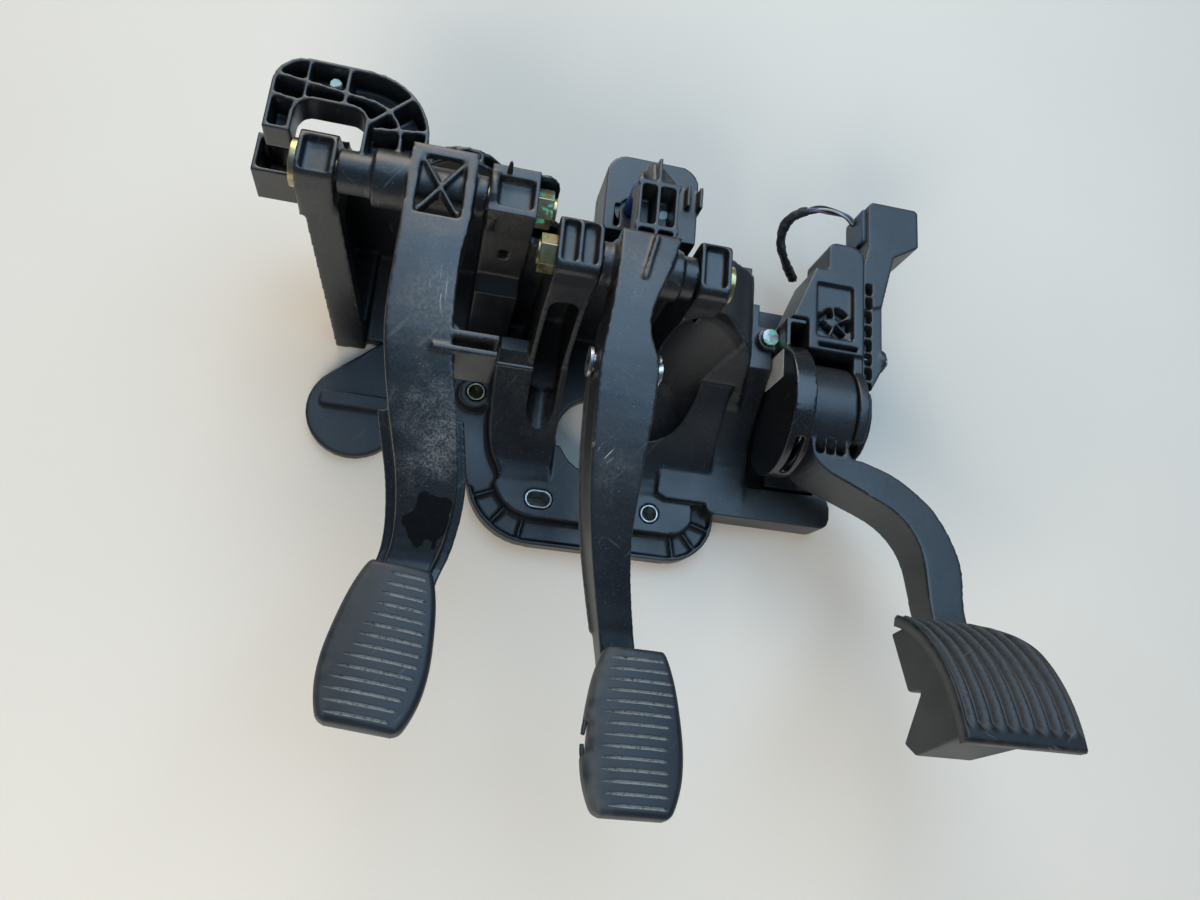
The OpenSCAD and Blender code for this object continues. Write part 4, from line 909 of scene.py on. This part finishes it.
@dataclass
class Studio:
    """Camera, pale floor and soft light: a blue window of sky, and warmer lamps around."""

    eye: Point = (-0.12576, -0.12224, 0.52769)
    right: Point = (0.97512, 0.08689, 0.20392)
    up: Point = (-0.14102, 0.95296, 0.26828)
    back: Point = (-0.17102, -0.29036, 0.94151)
    lens: float = 27.0
    floor_size: float = 6.0
    floor_colour: Colour = (0.80, 0.73, 0.63)
    floor_points: int = 9
    floor_height: float = -0.6
    dim: Colour = (0.08, 0.115, 0.16)
    lamps: tuple[Lamp, ...] = (
        Lamp("sky", (0.2, 0.55, 1.2), (0.0, 0.05, 0.05), 1.25, 12.5, (0.44, 0.70, 1.0)),
        Lamp("front", (-0.5, -1.35, 0.85), (-0.05, -0.35, 0.0), 1.0, 24.0, (1.0, 0.95, 0.88),
             mirrored=False),
        Lamp("back", (-0.5, 1.5, 0.95), (-0.05, 0.2, 0.0), 1.1, 16.0, (1.0, 0.88, 0.72)))

    def camera(self) -> None:
        """Sets the camera at the photograph's place and angle."""
        data = bpy.data.cameras.new("camera")
        data.lens = self.lens
        data.sensor_width = 36.0
        data.clip_start = 0.01
        camera = bpy.data.objects.new("camera", data)
        axes = Matrix((self.right, self.up, self.back)).transposed()
        camera.matrix_world = Matrix.Translation(self.eye) @ axes.to_4x4()
        bpy.context.scene.collection.objects.link(camera)
        bpy.context.scene.camera = camera
        bpy.context.scene.view_settings.view_transform = "Standard"

    def floor(self) -> None:
        """Lays the pale floor under the part."""
        sheet = NodeSheet("floor_card")
        pale = sheet.ramp(sheet.noise(3.0, 5.0), 0.3, 0.7)
        tone = sheet.mix(pale, tuple(c * 0.96 for c in self.floor_colour), self.floor_colour)
        relief = sheet.bump(sheet.noise(500.0, 3.0), 0.00008)
        material = sheet.finish(Base_Color=tone, Roughness=0.9, Normal=relief)
        sketch = Sketch()
        half = self.floor_size / 2 / MM
        steps = np.linspace(-half, half, self.floor_points)
        rows = np.array([(x, y, self.floor_height) for y in steps for x in steps])
        sketch.add_points(rows)
        sketch.grid(0, self.floor_points, self.floor_points)
        floor = sketch.piece("floor", [material])

    def light(self) -> None:
        """Sets dim surroundings and hangs the lamps."""
        world = bpy.data.worlds.new("surroundings")
        world.use_nodes = True
        ground = world.node_tree.nodes["Background"]
        ground.inputs["Color"].default_value = (*self.dim, 1.0)
        ground.inputs["Strength"].default_value = 1.0
        bpy.context.scene.world = world
        for lamp in self.lamps:
            lamp.hang()


@dataclass
class RubberPad:
    """Rubber pad of the clutch or the brake, in millimetres from the middle of its back."""

    name: str
    node: str
    body: Body
    centre: Point
    cant: float
    groove_left: tuple[float, ...]
    groove_right: tuple[float, ...]
    dusty: float = 0.35
    torn: bool = False
    width: float = 46.0
    length: float = 73.0
    thick: float = 10.0
    recess: float = 3.0
    skirt: float = 4.0
    crown: float = 95.0
    tilt: float = 14.0
    grooves: int = 14
    groove_half: float = 0.62
    groove_depth: float = 1.2
    first_groove: float = 0.075
    groove_span: float = 0.87
    roll: float = 3.2
    tear_from: float = 0.45
    tear_to: float = 0.68
    tear_ease: float = 0.04
    tear_depth: float = 2.3
    lip_spans: tuple[tuple[float, float], ...] = ((0.445, 0.545), (0.60, 0.69))
    lip_points: int = 14
    rows: int = 250
    columns: int = 72
    outline: tuple[tuple[float, float], ...] = (
        (0, 0.25), (0.03, 0.325), (0.2, 0.415), (0.42, 0.475),
        (0.62, 0.5), (0.8, 0.475), (0.96, 0.39), (1, 0.3))

    def half_width(self, share: np.ndarray) -> np.ndarray:
        """Half the pad's width.

        Args:
            share: place along the pad, 0 at its top and 1 at its bottom.

        Returns:
            The half width at each place.
        """
        edge = smooth_curve(np.array(self.outline), 24)
        order = np.argsort(edge[:, 0])
        return np.interp(share, edge[order, 0], edge[order, 1] * self.width)

    def place(self) -> Matrix:
        """Where the pad lies on its arm, in millimetres.

        Returns:
            The pad's place.
        """
        lean = Matrix.Rotation(math.radians(-self.tilt), 4, "X")
        turn = Matrix.Rotation(math.radians(-self.cant), 4, "Z")
        return Matrix.Translation(self.centre) @ lean @ turn

    def bay(self, share: np.ndarray) -> np.ndarray:
        """How far the torn left edge is drawn in.

        Args:
            share: place along the pad, 0 at its top and 1 at its bottom.

        Returns:
            The distance at each place in millimetres.
        """
        if not self.torn:
            return np.zeros_like(share)
        rise = np.clip((share - self.tear_from) / self.tear_ease, 0, 1)
        rise = rise * np.clip((self.tear_to - share) / self.tear_ease, 0, 1)
        return self.tear_depth * rise * rise * (3 - 2 * rise)

    def mesh(self) -> Sketch:
        """Builds the crowned and grooved face, its flank, its skirt and its recess.

        Returns:
            The sketch, placed on the arm.
        """
        v = np.linspace(0.0, 1.0, self.rows)
        u = np.sin(np.linspace(-math.pi / 2, math.pi / 2, self.columns))
        half = self.half_width(v)
        left = -half + self.bay(v)
        x = left[:, None] + (u[None, :] + 1) / 2 * (half - left)[:, None]
        y = np.repeat(((0.5 - v) * self.length)[:, None], self.columns, axis=1)
        ends = np.minimum(v, 1 - v)[:, None] * self.length
        gap = np.minimum(np.minimum(x - left[:, None], half[:, None] - x), ends)
        inside = np.clip(1 - gap / self.roll, 0, 1)
        drop = self.roll * (1 - np.sqrt(np.clip(1 - inside**2, 0, 1))) * 0.8
        z = np.sqrt(self.crown**2 - x**2) - self.crown + self.thick - drop
        groove = self.groove_mask(x, y, half)
        z = z - self.groove_depth * groove
        side = np.clip((-x / half[:, None] - 0.45) / 0.4, 0, 1)
        top = 0.6 * np.clip((0.16 - v) / 0.16, 0, 1)[:, None]
        rim = self.dusty * (side + top) + 0.4 * np.clip(inside - 0.5, 0, 1)
        sketch = Sketch()
        sketch.add_points(np.dstack([x, y, z]).reshape(-1, 3),
                          groove=np.clip(groove * 1.4, 0, 1).ravel(),
                          rim=np.clip(rim, 0, 1).ravel())
        sketch.grid(0, self.rows, self.columns)
        self.close(sketch)
        if self.torn:
            self.lips(sketch)
        return sketch.moved(self.place())

    def groove_mask(self, x: np.ndarray, y: np.ndarray, half: np.ndarray) -> np.ndarray:
        """Depth of the cross grooves, which are blunt at the right end and pointed at the left.

        Args:
            x: the face's points across.
            y: the face's points along.
            half: half width of each row.

        Returns:
            The share of the full depth at each point.
        """
        share = np.linspace(0.0, 1.0, self.grooves)
        knots = np.linspace(0.0, 1.0, len(self.groove_left))
        total = np.zeros_like(x)
        for s in share:
            middle = (0.5 - self.first_groove - self.groove_span * s) * self.length
            width = float(np.interp(0.5 - middle / self.length, np.linspace(0, 1, self.rows), half))
            x0 = float(np.interp(s, knots, self.groove_left)) * width
            x1 = float(np.interp(s, knots, self.groove_right)) * width
            t = np.clip((x - x0) / (x1 - x0), 0, 1)
            reach = self.groove_half * np.clip(t * 4, 0.0, 1.0) ** 0.6 * np.clip((1 - t) * 22, 0, 1)
            across = np.abs(y - middle) / np.maximum(reach, 0.05)
            depth = np.clip(1.25 - across, 0, 1)
            total = np.maximum(total, np.where((t > 0) & (t < 1), depth, 0.0))
        return total

    def close(self, sketch: Sketch) -> None:
        """Adds the flank, the skirt's lower edge and the recess under the face.

        Args:
            sketch: the sketch that holds the face.
        """
        loop = rim_loop(self.rows, self.columns)
        rim = np.array([sketch.points[i] for i in loop])
        n = len(loop)
        shrink = 1 - 2 * self.skirt / np.array([self.width, self.length, 1.0])
        flat, inner = rim * (1, 1, 0), rim * shrink * (1, 1, 0)
        rings = [flat * (1.006, 1.006, 1) + (rim * (0, 0, 1)) * 0.55, flat + (0, 0, 0.6),
                 rim * (0.985, 0.985, 0), inner, inner + (0, 0, self.recess)]
        start = sketch.count()
        for ring in rings:
            sketch.add_points(ring, rim=np.full(n, 0.5))
        for k in range(n):
            sketch.add_face([loop[(k + 1) % n], loop[k], start + k, start + (k + 1) % n])
        sketch.grid(start, len(rings), n, closed=True)
        sketch.add_face([start + (len(rings) - 1) * n + k for k in range(n)])

    def lips(self, sketch: Sketch) -> None:
        """Adds the two strips of rubber that hang on beside the tear.

        Args:
            sketch: the sketch that holds the pad.
        """
        n = self.lip_points
        for first, last in self.lip_spans:
            v = np.linspace(first, last, n)
            half = self.half_width(v)
            free = np.linspace(0, 1, n) if first < 0.5 else np.linspace(1, 0, n)
            path = np.column_stack([-half + 0.8 - 0.5 * free, (0.5 - v) * self.length,
                                    3.6 + 0.5 * free])
            sketch.tube(path, 0.85 + 0.35 * np.sin(np.linspace(0.3, math.pi - 0.3, n)), 8)

    def build(self, finish: bpy.types.Material) -> None:
        """Makes the pad and puts it on its pedal.

        Args:
            finish: the rubber.
        """
        reported(self.mesh().piece(self.name, [finish]), self.body, "pad_rubber", self.node)


@dataclass
class ThrottlePad:
    """Arched and ribbed throttle pad with the box on its back, in millimetres."""

    centre: Point = (143.0, -86.0, 130.0)
    tilt: float = 45.0
    width: float = 60.0
    length: float = 84.0
    thick: float = 5.0
    arch: float = 78.0
    corner: float = 34.0
    ribs: int = 8
    rib_height: float = 3.0
    rib_margin: float = 1.5
    rib_proud: float = 1.3
    edge_roll: float = 1.8
    box_left: float = -28.0
    box_right: float = 12.0
    rows: int = 110
    columns: int = 110

    def sag(self) -> float:
        """Depth of the arch's centre below the pad's middle plane."""
        return math.sqrt(self.arch**2 - self.length**2 / 4)

    def plate(self) -> Sketch:
        """Builds the arched plate with its rounded ribs and edges.

        Returns:
            The sketch in the pad's own axes.
        """
        half_w, half_l = self.width / 2, self.length / 2
        y = np.linspace(-half_l, half_l, self.rows)
        bend = np.clip(y - (half_l - self.corner), 0, self.corner)
        right = half_w - self.corner + np.sqrt(self.corner**2 - bend**2)
        spread = (np.sin(np.linspace(-math.pi / 2, math.pi / 2, self.columns)) * 0.35
                  + np.linspace(-1, 1, self.columns) * 0.65 + 1) / 2
        x = -half_w + spread[None, :] * (right + half_w)[:, None]
        yy = np.repeat(y[:, None], self.columns, axis=1)
        edge = np.minimum(np.minimum(x + half_w, right[:, None] - x),
                          np.minimum(yy + half_l, half_l - yy))
        turns = self.ribs * (x + half_w - self.rib_margin) / (self.width - 2 * self.rib_margin)
        wave = 0.5 - 0.5 * np.cos(2 * math.pi * turns)
        valley = np.clip(wave, 0, 1) ** 0.7
        fade = np.clip((yy + half_l - 4.5) / 4.0, 0, 1) * np.clip((x + half_w - 1) / 2, 0, 1)
        fade *= np.clip((right[:, None] - x - 1) / 2.5, 0, 1)
        inside = np.clip(1 - edge / self.edge_roll, 0, 1)
        roll = self.edge_roll * (1 - np.sqrt(np.clip(1 - inside ** 2, 0, 1)))
        radius = self.arch + self.rib_proud - self.rib_height * (1 - valley) * fade - roll
        angle = np.arcsin(np.clip(yy / self.arch, -1, 1))
        top = np.dstack([x, radius * np.sin(angle), radius * np.cos(angle) - self.sag()])
        low = self.arch - self.thick
        under = np.dstack([x, low * np.sin(angle), low * np.cos(angle) - self.sag()])
        sketch = Sketch()
        # Painted highlight: the rib tops get 1 in the groove attribute, and the tread finish turns
        # that into a lighter bluish grey.
        painted_rib_highlight = (valley * fade).ravel()
        first = sketch.add_points(top.reshape(-1, 3), groove=painted_rib_highlight * 0.85,
                                  rim=0.4 * np.clip(1 - edge / 3, 0, 1).ravel())
        second = sketch.add_points(under.reshape(-1, 3))
        sketch.grid(first, self.rows, self.columns)
        sketch.grid(second, self.rows, self.columns)
        loop = rim_loop(self.rows, self.columns)
        for a, b in zip(loop, loop[1:] + loop[:1]):
            sketch.add_face([first + a, first + b, second + b, second + a])
        return sketch

    def box(self) -> Sketch:
        """Builds the box behind the plate, narrower towards the firewall.

        Returns:
            The sketch in the part's axes, from the pad's centre.
        """
        h = self.length / 2 * math.cos(math.radians(self.tilt))
        foot = [(h - 8, -h - 8, 12), (-8, -22, 4), (-8, -10, 8), (-h - 3, -26, -2),
                (-h - 8, -16, 2)]
        bend = np.linspace(-0.52, 0.5, 13)
        under = self.arch - self.thick + 0.4
        turn = math.radians(self.tilt)
        along, out = under * np.sin(bend), under * np.cos(bend) - self.sag()
        c, s = math.cos(turn), math.sin(turn)
        curve = [(y * c + z * s, z * c - y * s, self.box_right) for y, z in zip(along, out)]
        rows = np.array(foot + curve)
        side, right = rows[:, :2], rows[:, 2]
        low = np.column_stack([np.full(len(side), self.box_left), side])
        high = np.column_stack([right, side])
        sketch = Sketch()
        sketch.prism(low, high)
        return sketch

    def build(self, finish: bpy.types.Material) -> None:
        """Makes the plate and its box and puts them on the throttle arm.

        Args:
            finish: the pad's plastic.
        """
        at = Matrix.Translation(self.centre)
        lean = Matrix.Rotation(math.radians(-self.tilt), 4, "X")
        plate = self.plate().moved(at @ lean).piece("throttle_pad_plate", [finish])
        reported(plate, Body.THROTTLE, "throttle_pad_plastic", "throttle_pad")
        box = self.box().moved(at).piece("throttle_pad_box", [finish])
        rounded(box, 1.6, 20.0, 4)
        reported(box, Body.THROTTLE, "throttle_pad_plastic", "throttle_pad")


@dataclass
class Harness:
    """Cut-off wires that leave the throttle's plug, bare at first and then taped."""

    route: tuple[Point, ...] = (
        (106.6, 191, 66), (100, 196, 66), (84, 199, 62), (69, 194, 54), (67, 183, 44),
        (76, 173, 33), (86, 169, 22))
    thick: float = 7.0
    bare_share: float = 0.34
    wire: float = 1.4
    spread: float = 2.3
    lap: float = 6.0
    count: int = 33
    tape_sides: int = 26
    tape_rings: int = 190
    tape_colour: Colour = (0.012, 0.0125, 0.0135)
    colours: tuple[tuple[str, Colour], ...] = (
        ("green", (0.035, 0.11, 0.06)), ("black", (0.010, 0.010, 0.011)),
        ("violet", (0.10, 0.055, 0.13)), ("white", (0.40, 0.41, 0.41)),
        ("blue", (0.09, 0.15, 0.25)), ("dark", (0.02, 0.021, 0.023)),
        ("grey", (0.10, 0.10, 0.105)))

    def build(self) -> None:
        """Makes the wires and their tape as one cord."""
        path = smooth_curve(np.array(self.route, float), 16)
        run = np.concatenate([[0.0], np.cumsum(np.linalg.norm(np.diff(path, axis=0), axis=1))])
        looks = [PlainFinish("harness_tape", self.tape_colour, 0.5, 0.5, 1400.0, 0.00012)]
        looks += [PlainFinish(f"wire_{name}", tone, 0.42, 0.2) for name, tone in self.colours]
        materials = [look.material() for look in looks]
        sketch = Sketch()
        self.tape(sketch, path, run)
        self.wires(sketch, path, run)
        cord = sketch.piece("harness_cord", materials)
        reported(cord, Body.CARRIER, "harness_tape", "harness")

    def along(self, at: np.ndarray, path: np.ndarray, run: np.ndarray) -> np.ndarray:
        """Points at given lengths along a line.

        Args:
            at: lengths from the start.
            path: the line's points, or one vector for each of them.
            run: length along the line at each point.

        Returns:
            One point or vector for each length.
        """
        return np.column_stack([np.interp(at, run, path[:, k]) for k in range(3)])

    def tape(self, sketch: Sketch, path: np.ndarray, run: np.ndarray) -> None:
        """Adds the taped stretch, wound slantwise, with kinks and a ragged start.

        Args:
            sketch: the sketch that takes the tube.
            path: centre line.
            run: length along the centre line at each point.
        """
        sides = self.tape_sides
        at = np.linspace(self.bare_share * run[-1], run[-1] - 2.5, self.tape_rings)
        line = self.along(at, path, run)
        turn = np.linspace(0, 2 * math.pi, sides, endpoint=False)
        lap = (at[:, None] / self.lap + turn[None, :] / (2 * math.pi)) % 1.0
        fold = (0.26 * np.cos(2 * turn[None, :] + at[:, None] * 0.16)
                + 0.10 * np.cos(5 * turn[None, :] - at[:, None] * 0.3))
        kink = 0.16 * np.sin(at * 0.42)[:, None] + 0.08 * np.sin(at * 1.3)[:, None]
        radius = self.thick / 2 - 0.75 + 0.34 * lap + fold + kink
        ragged = 1.6 + 1.3 * np.sin(3 * turn + 0.7) + 0.7 * np.sin(7 * turn)
        start = (at[:, None] - at[0]) / np.maximum(ragged[None, :], 0.3)
        radius *= np.clip(0.62 + 0.38 * start, 0.62, 1.0)
        sketch.tube(line, radius, sides, 0)

    def wires(self, sketch: Sketch, path: np.ndarray, run: np.ndarray) -> None:
        """Adds the bare wires before the tape and their cut ends after it.

        Args:
            sketch: the sketch that takes the tubes.
            path: centre line.
            run: length along the centre line at each point.
        """
        total = float(run[-1])
        bare = self.bare_share * total
        ahead = np.gradient(path, axis=0)
        ahead /= np.linalg.norm(ahead, axis=1)[:, None]
        side = np.cross(ahead, (0.3, 0.2, 1.0))
        side /= np.linalg.norm(side, axis=1)[:, None]
        other = np.cross(ahead, side)
        for i in range(len(self.colours)):
            turn = 2 * math.pi * i / len(self.colours)
            for first, last in ((0.0, bare + 3), (total - 8, total - 0.5 * (i % 3))):
                at = np.linspace(first, last, 24)
                s, o = self.along(at, side, run), self.along(at, other, run)
                twist = turn + at * 0.05 + 0.5 * np.sin(at * 0.11 + 2.1 * i)
                reach = self.spread * (0.72 + 0.28 * np.sin(at * 0.2 + 1.7 * i))
                reach = reach - 0.7 * np.clip((at - bare + 4) / 6, 0, 1)
                line = self.along(at, path, run)
                line = line + (np.cos(twist) * reach)[:, None] * s
                line = line + (np.sin(twist) * reach)[:, None] * o
                sketch.tube(line, self.wire / 2, 8, i + 1)


@dataclass
class Assembly:
    """Sub-assembly whose listed nodes keep their shape and get a finish and eased edges."""

    nodes: tuple[NodeRow, ...] = ()

    def dress_nodes(self, finishes: Finishes, nodes: Nodes) -> None:
        """Dresses every listed node.

        Args:
            finishes: materials by name.
            nodes: the frame's nodes by name.
        """
        for node, finish, edge in self.nodes:
            dress(nodes[node], finishes[finish], edge)


@dataclass
class Carrier(Assembly):
    """Moulded carrier with its sleeves, bolts, foot, stops and switch."""

    spike_at: Point = (-112.6, 130.5, 140.0)
    spike_height: float = 11.0
    nodes: tuple[NodeRow, ...] = (
        ("carrier", "carrier", Edge.LARGE), ("switch_cover", "carrier", Edge.MOULDED),
        ("outrigger_foot", "foot", Edge.MOULDED), ("round_sleeve", "steel", Edge.TURNED),
        ("slot_sleeve", "steel", Edge.TURNED), ("side_sleeve", "zinc", Edge.TURNED),
        ("clutch_pivot_bolt", "zinc", Edge.TURNED), ("clutch_pivot_nut", "painted", Edge.TURNED),
        ("brake_pivot_bolt", "zinc", Edge.TURNED), ("brake_pivot_nut", "zinc", Edge.TURNED),
        ("clutch_stop_buffer", "buffer", Edge.TURNED), ("brake_stop_buffer", "buffer", Edge.TURNED),
        ("brake_switch", "switch", Edge.TURNED), ("switch_plunger", "blue", Edge.TURNED))

    def build(self, finishes: Finishes, nodes: Nodes) -> None:
        """Dresses the carrier's nodes and adds its moulded spike.

        Args:
            finishes: materials by name.
            nodes: the frame's nodes by name.
        """
        self.dress_nodes(finishes, nodes)
        sketch = Sketch()
        h = self.spike_height
        profile = [(1.9, -1.5), (1.9, 0.4), (1.5, 1.2), (1.25, h * 0.45), (1.0, h * 0.8),
                   (0.6, h * 0.96), (0.2, h)]
        sketch.lathe(profile, Matrix.Translation(self.spike_at), 14)
        spike = sketch.piece("column_spike", [finishes["carrier"]])
        reported(spike, Body.CARRIER, "carrier_plastic")


@dataclass
class PaintDot:
    """Small uneven dot of marking paint on the floor of a pocket or on a pip, in millimetres."""

    name: str
    body: Body
    at: Point
    radius: float = 3.0
    thick: float = 0.5
    pip: float = 0.4
    sides: int = 40
    rings: tuple[tuple[float, float], ...] = (
        (1.0, 0.12), (0.93, 0.36), (0.75, 0.47), (0.4, 0.5), (0.1, 0.48))

    def build(self, finish: bpy.types.Material) -> None:
        """Makes the dot.

        Args:
            finish: the paint.
        """
        n = self.sides
        turn = np.linspace(0, 2 * math.pi, n, endpoint=False)
        wobble = 1 + 0.10 * np.sin(2 * turn + 0.6) + 0.07 * np.sin(3 * turn + 1.9)
        wobble = wobble + 0.04 * np.sin(7 * turn)
        sketch = Sketch()
        rings = ((1.0, -self.pip), *self.rings)
        for share, height in rings:
            ring = np.column_stack([np.cos(turn) * wobble * self.radius * share,
                                    np.sin(turn) * wobble * self.radius * share,
                                    np.full(n, height * self.thick / 0.5)])
            sketch.add_points(ring + np.array(self.at))
        sketch.grid(0, len(rings), n, closed=True)
        sketch.add_face(list(range(n))[::-1])
        sketch.add_face([(len(rings) - 1) * n + k for k in range(n)])
        reported(sketch.piece(self.name, [finish]), self.body)


@dataclass
class ClutchPedal(Assembly):
    """Clutch arm with its hook, bushes, pad and paint mark."""

    nodes: tuple[NodeRow, ...] = (
        ("clutch_arm", "clutch_arm", Edge.MOULDED), ("clutch_bushes", "bush", Edge.TURNED))
    dot: PaintDot = field(default_factory=lambda: PaintDot(
        "hook_mark", Body.CLUTCH, (-202.0, 166.0, 134.0), 2.6, pip=8.2))
    pad: RubberPad = field(default_factory=lambda: RubberPad(
        "clutch_pad_rubber", "clutch_pad", Body.CLUTCH, (-140.0, -99.0, 118.0), 6.0,
        (-0.22, -0.24, -0.34, -0.43, -0.6, -0.8, -0.8), (0.76, 0.74, 0.8, 0.82, 0.78, 0.7, 0.64)))

    def build(self, finishes: Finishes, nodes: Nodes) -> None:
        """Dresses the clutch pedal.

        Args:
            finishes: materials by name.
            nodes: the frame's nodes by name.
        """
        self.dress_nodes(finishes, nodes)
        self.pad.build(finishes["rubber"])
        self.dot.build(finishes["mint"])


@dataclass
class BrakePedal(Assembly):
    """Brake lever with its ribbed head, bushes, pad, push-rod pin and paint mark."""

    nodes: tuple[NodeRow, ...] = (
        ("brake_arm", "brake_arm", Edge.MOULDED), ("brake_bushes", "bush", Edge.TURNED),
        ("pushrod_pin", "steel", Edge.TURNED), ("pushrod_clip", "steel", Edge.TURNED))
    dot: PaintDot = field(default_factory=lambda: PaintDot(
        "head_mark", Body.BRAKE, (-30.6, 132.8, 126.2), 2.8))
    pad: RubberPad = field(default_factory=lambda: RubberPad(
        "brake_pad_rubber", "brake_pad", Body.BRAKE, (-26.0, -125.0, 118.0), 0.0,
        (-0.73, -0.68, -0.66, -0.61, -0.65, -0.65, -0.62),
        (0.82, 0.9, 0.85, 0.67, 0.62, 0.7, 0.78), dusty=0.9, torn=True))

    def build(self, finishes: Finishes, nodes: Nodes) -> None:
        """Dresses the brake pedal.

        Args:
            finishes: materials by name.
            nodes: the frame's nodes by name.
        """
        self.dress_nodes(finishes, nodes)
        self.pad.build(finishes["rubber"])
        self.dot.build(finishes["mint"])


@dataclass
class ThrottlePedal(Assembly):
    """Throttle module: housing, covers, drum and arm, pad, screws, plug and label."""

    nodes: tuple[NodeRow, ...] = (
        ("throttle_housing", "throttle", Edge.MOULDED),
        ("throttle_left_cover", "cover", Edge.MOULDED),
        ("throttle_sensor_cover", "throttle", Edge.MOULDED),
        ("throttle_arm", "throttle", Edge.MOULDED),
        ("throttle_label", "film", Edge.SHARP), ("throttle_pin", "steel", Edge.TURNED),
        ("throttle_springs", "steel", Edge.SHARP), ("sensor_board", "board", Edge.SHARP),
        ("throttle_screws", "teal", Edge.TURNED), ("cover_screws", "steel", Edge.TURNED),
        ("connector_plug", "plug", Edge.MOULDED), ("throttle_magnet", "magnet", Edge.TURNED))
    pad: ThrottlePad = field(default_factory=ThrottlePad)

    def build(self, finishes: Finishes, nodes: Nodes) -> None:
        """Dresses the throttle module.

        Args:
            finishes: materials by name.
            nodes: the frame's nodes by name.
        """
        self.dress_nodes(finishes, nodes)
        self.pad.build(finishes["tread"])


def dress(node: bpy.types.Object, finish: bpy.types.Material, edge: Edge) -> None:
    """Gives a node its finish and rounds its edges.

    Args:
        node: the frame's node.
        finish: its material.
        edge: how far its edges are rounded.
    """
    node.data.materials.clear()
    node.data.materials.append(finish)
    if edge.value.cell:
        melted(node, edge.value)
    elif edge.value.bevel:
        rounded(node, edge.value.bevel)
    LOG.info("node %s wears %s", node.name, finish.name)


def make_finishes() -> Finishes:
    """Builds every finish of the pedal box.

    Returns:
        The materials by short name.
    """
    rub, stain, cut, dust = Mark.RUBBED, Mark.STAINED, Mark.SCRATCHED, Mark.DUSTY
    looks = {
        "carrier": MouldedPlastic("carrier_black", dust=0.24, specks=0.12, scratches=0.2, patches=(
            Patch(dust, (-108.0, 112.0, 105.0), 38.0, 0.22),
            Patch(dust, (-70.0, 60.0, 60.0), 45.0, 0.14))),
        "clutch_arm": MouldedPlastic("clutch_arm_black", dust=0.14, specks=0.2, scratches=0.3,
                                     patches=(
            Patch(rub, (-133.0, 2.0, 130.0), 26.0, 0.6, 0.9),
            Patch(rub, (-124.0, -13.0, 124.0), 17.0, 0.7, 0.4),
            Patch(stain, (-127.0, -38.0, 112.0), 12.0, 0.85),
            Patch(cut, (-134.0, 60.0, 150.0), 14.0, 0.5, 1.6),
            Patch(dust, (-137.0, 58.0, 150.0), 38.0, 0.36))),
        "brake_arm": MouldedPlastic("brake_arm_black", dust=0.14, specks=0.08, scratches=0.3,
                                    patches=(
            Patch(dust, (-45.0, 93.0, 145.0), 24.0, 0.25),
            Patch(cut, (-51.0, -4.0, 133.0), 9.0, 0.8, 0.9),
            Patch(dust, (-44.0, -8.0, 130.0), 14.0, 0.2))),
        "throttle": MouldedPlastic("throttle_black", (0.0065, 0.0078, 0.0098), 0.42, 0.1, 0.06,
                                   0.15, 0.35),
        "cover": MouldedPlastic("cover_black", (0.0040, 0.0044, 0.0052), 0.28, 0.08, 0.1, 0.2, 0.4),
        "foot": MouldedPlastic("foot_black", (0.008, 0.0095, 0.012), 0.48, 0.16, 0.1, 0.25, 0.4),
        "switch": MouldedPlastic("switch_grey", (0.045, 0.047, 0.05), 0.5),
        "rubber": WornRubber("pad_rubber"),
        "buffer": WornRubber("buffer_rubber", (0.008, 0.0085, 0.0095)),
        # The tread's third colour is the painted bluish-grey highlight on the rib tops, not dust.
        "tread": WornRubber("throttle_tread", (0.0066, 0.0078, 0.0094), (0.085, 0.096, 0.106)),
        "steel": PlatedSteel("bright_steel", (0.62, 0.62, 0.61), (0.42, 0.41, 0.39)),
        "zinc": PlatedSteel("yellow_zinc", (0.55, 0.45, 0.20), (0.40, 0.36, 0.24)),
        "painted": PlatedSteel("painted_nut", (0.5, 0.44, 0.24), (0.36, 0.33, 0.22),
                               paint=(0.05, 0.34, 0.24)),
        "teal": PlatedSteel("teal_screw", (0.42, 0.43, 0.41), (0.24, 0.25, 0.24), 0.4,
                            paint=(0.16, 0.42, 0.30)),
        "magnet": PlatedSteel("magnet_grey", (0.10, 0.10, 0.105), (0.07, 0.07, 0.072), 0.5),
        "bush": PlainFinish("bush_ivory", (0.5, 0.47, 0.4), 0.4, 0.15),
        "blue": PlainFinish("plunger_blue", (0.03, 0.09, 0.32), 0.4, 0.2),
        "plug": PlainFinish("plug_blue", (0.035, 0.06, 0.10), 0.42, 0.25),
        "board": PlainFinish("board_green", (0.02, 0.10, 0.04), 0.35, 0.3),
        "film": PlainFinish("label_film", (0.36, 0.36, 0.34), 0.38, 0.14, 500.0, 0.00002,
                            (0.2, 0.2, 0.19)),
        "mint": PlainFinish("mint_paint", (0.80, 0.88, 0.76), 0.5, 0.1, 600.0, 0.00005,
                            (0.68, 0.78, 0.68)),
    }
    return {key: look.material() for key, look in looks.items()}


def main() -> None:
    """Loads the frame, sets the camera, builds the harness and the classes in order, then lays the
    floor and sets the light.
    """
    logging.basicConfig(level=logging.INFO, format="%(name)s: %(message)s")
    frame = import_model()
    studio = Studio()
    studio.camera()
    Harness().build()
    finishes = make_finishes()
    for assembly in (Carrier(), ClutchPedal(), BrakePedal(), ThrottlePedal()):
        assembly.build(finishes, frame["nodes"])
        LOG.info("%s is dressed", type(assembly).__name__)
    studio.floor()
    studio.light()


if __name__ == "__main__":
    main()
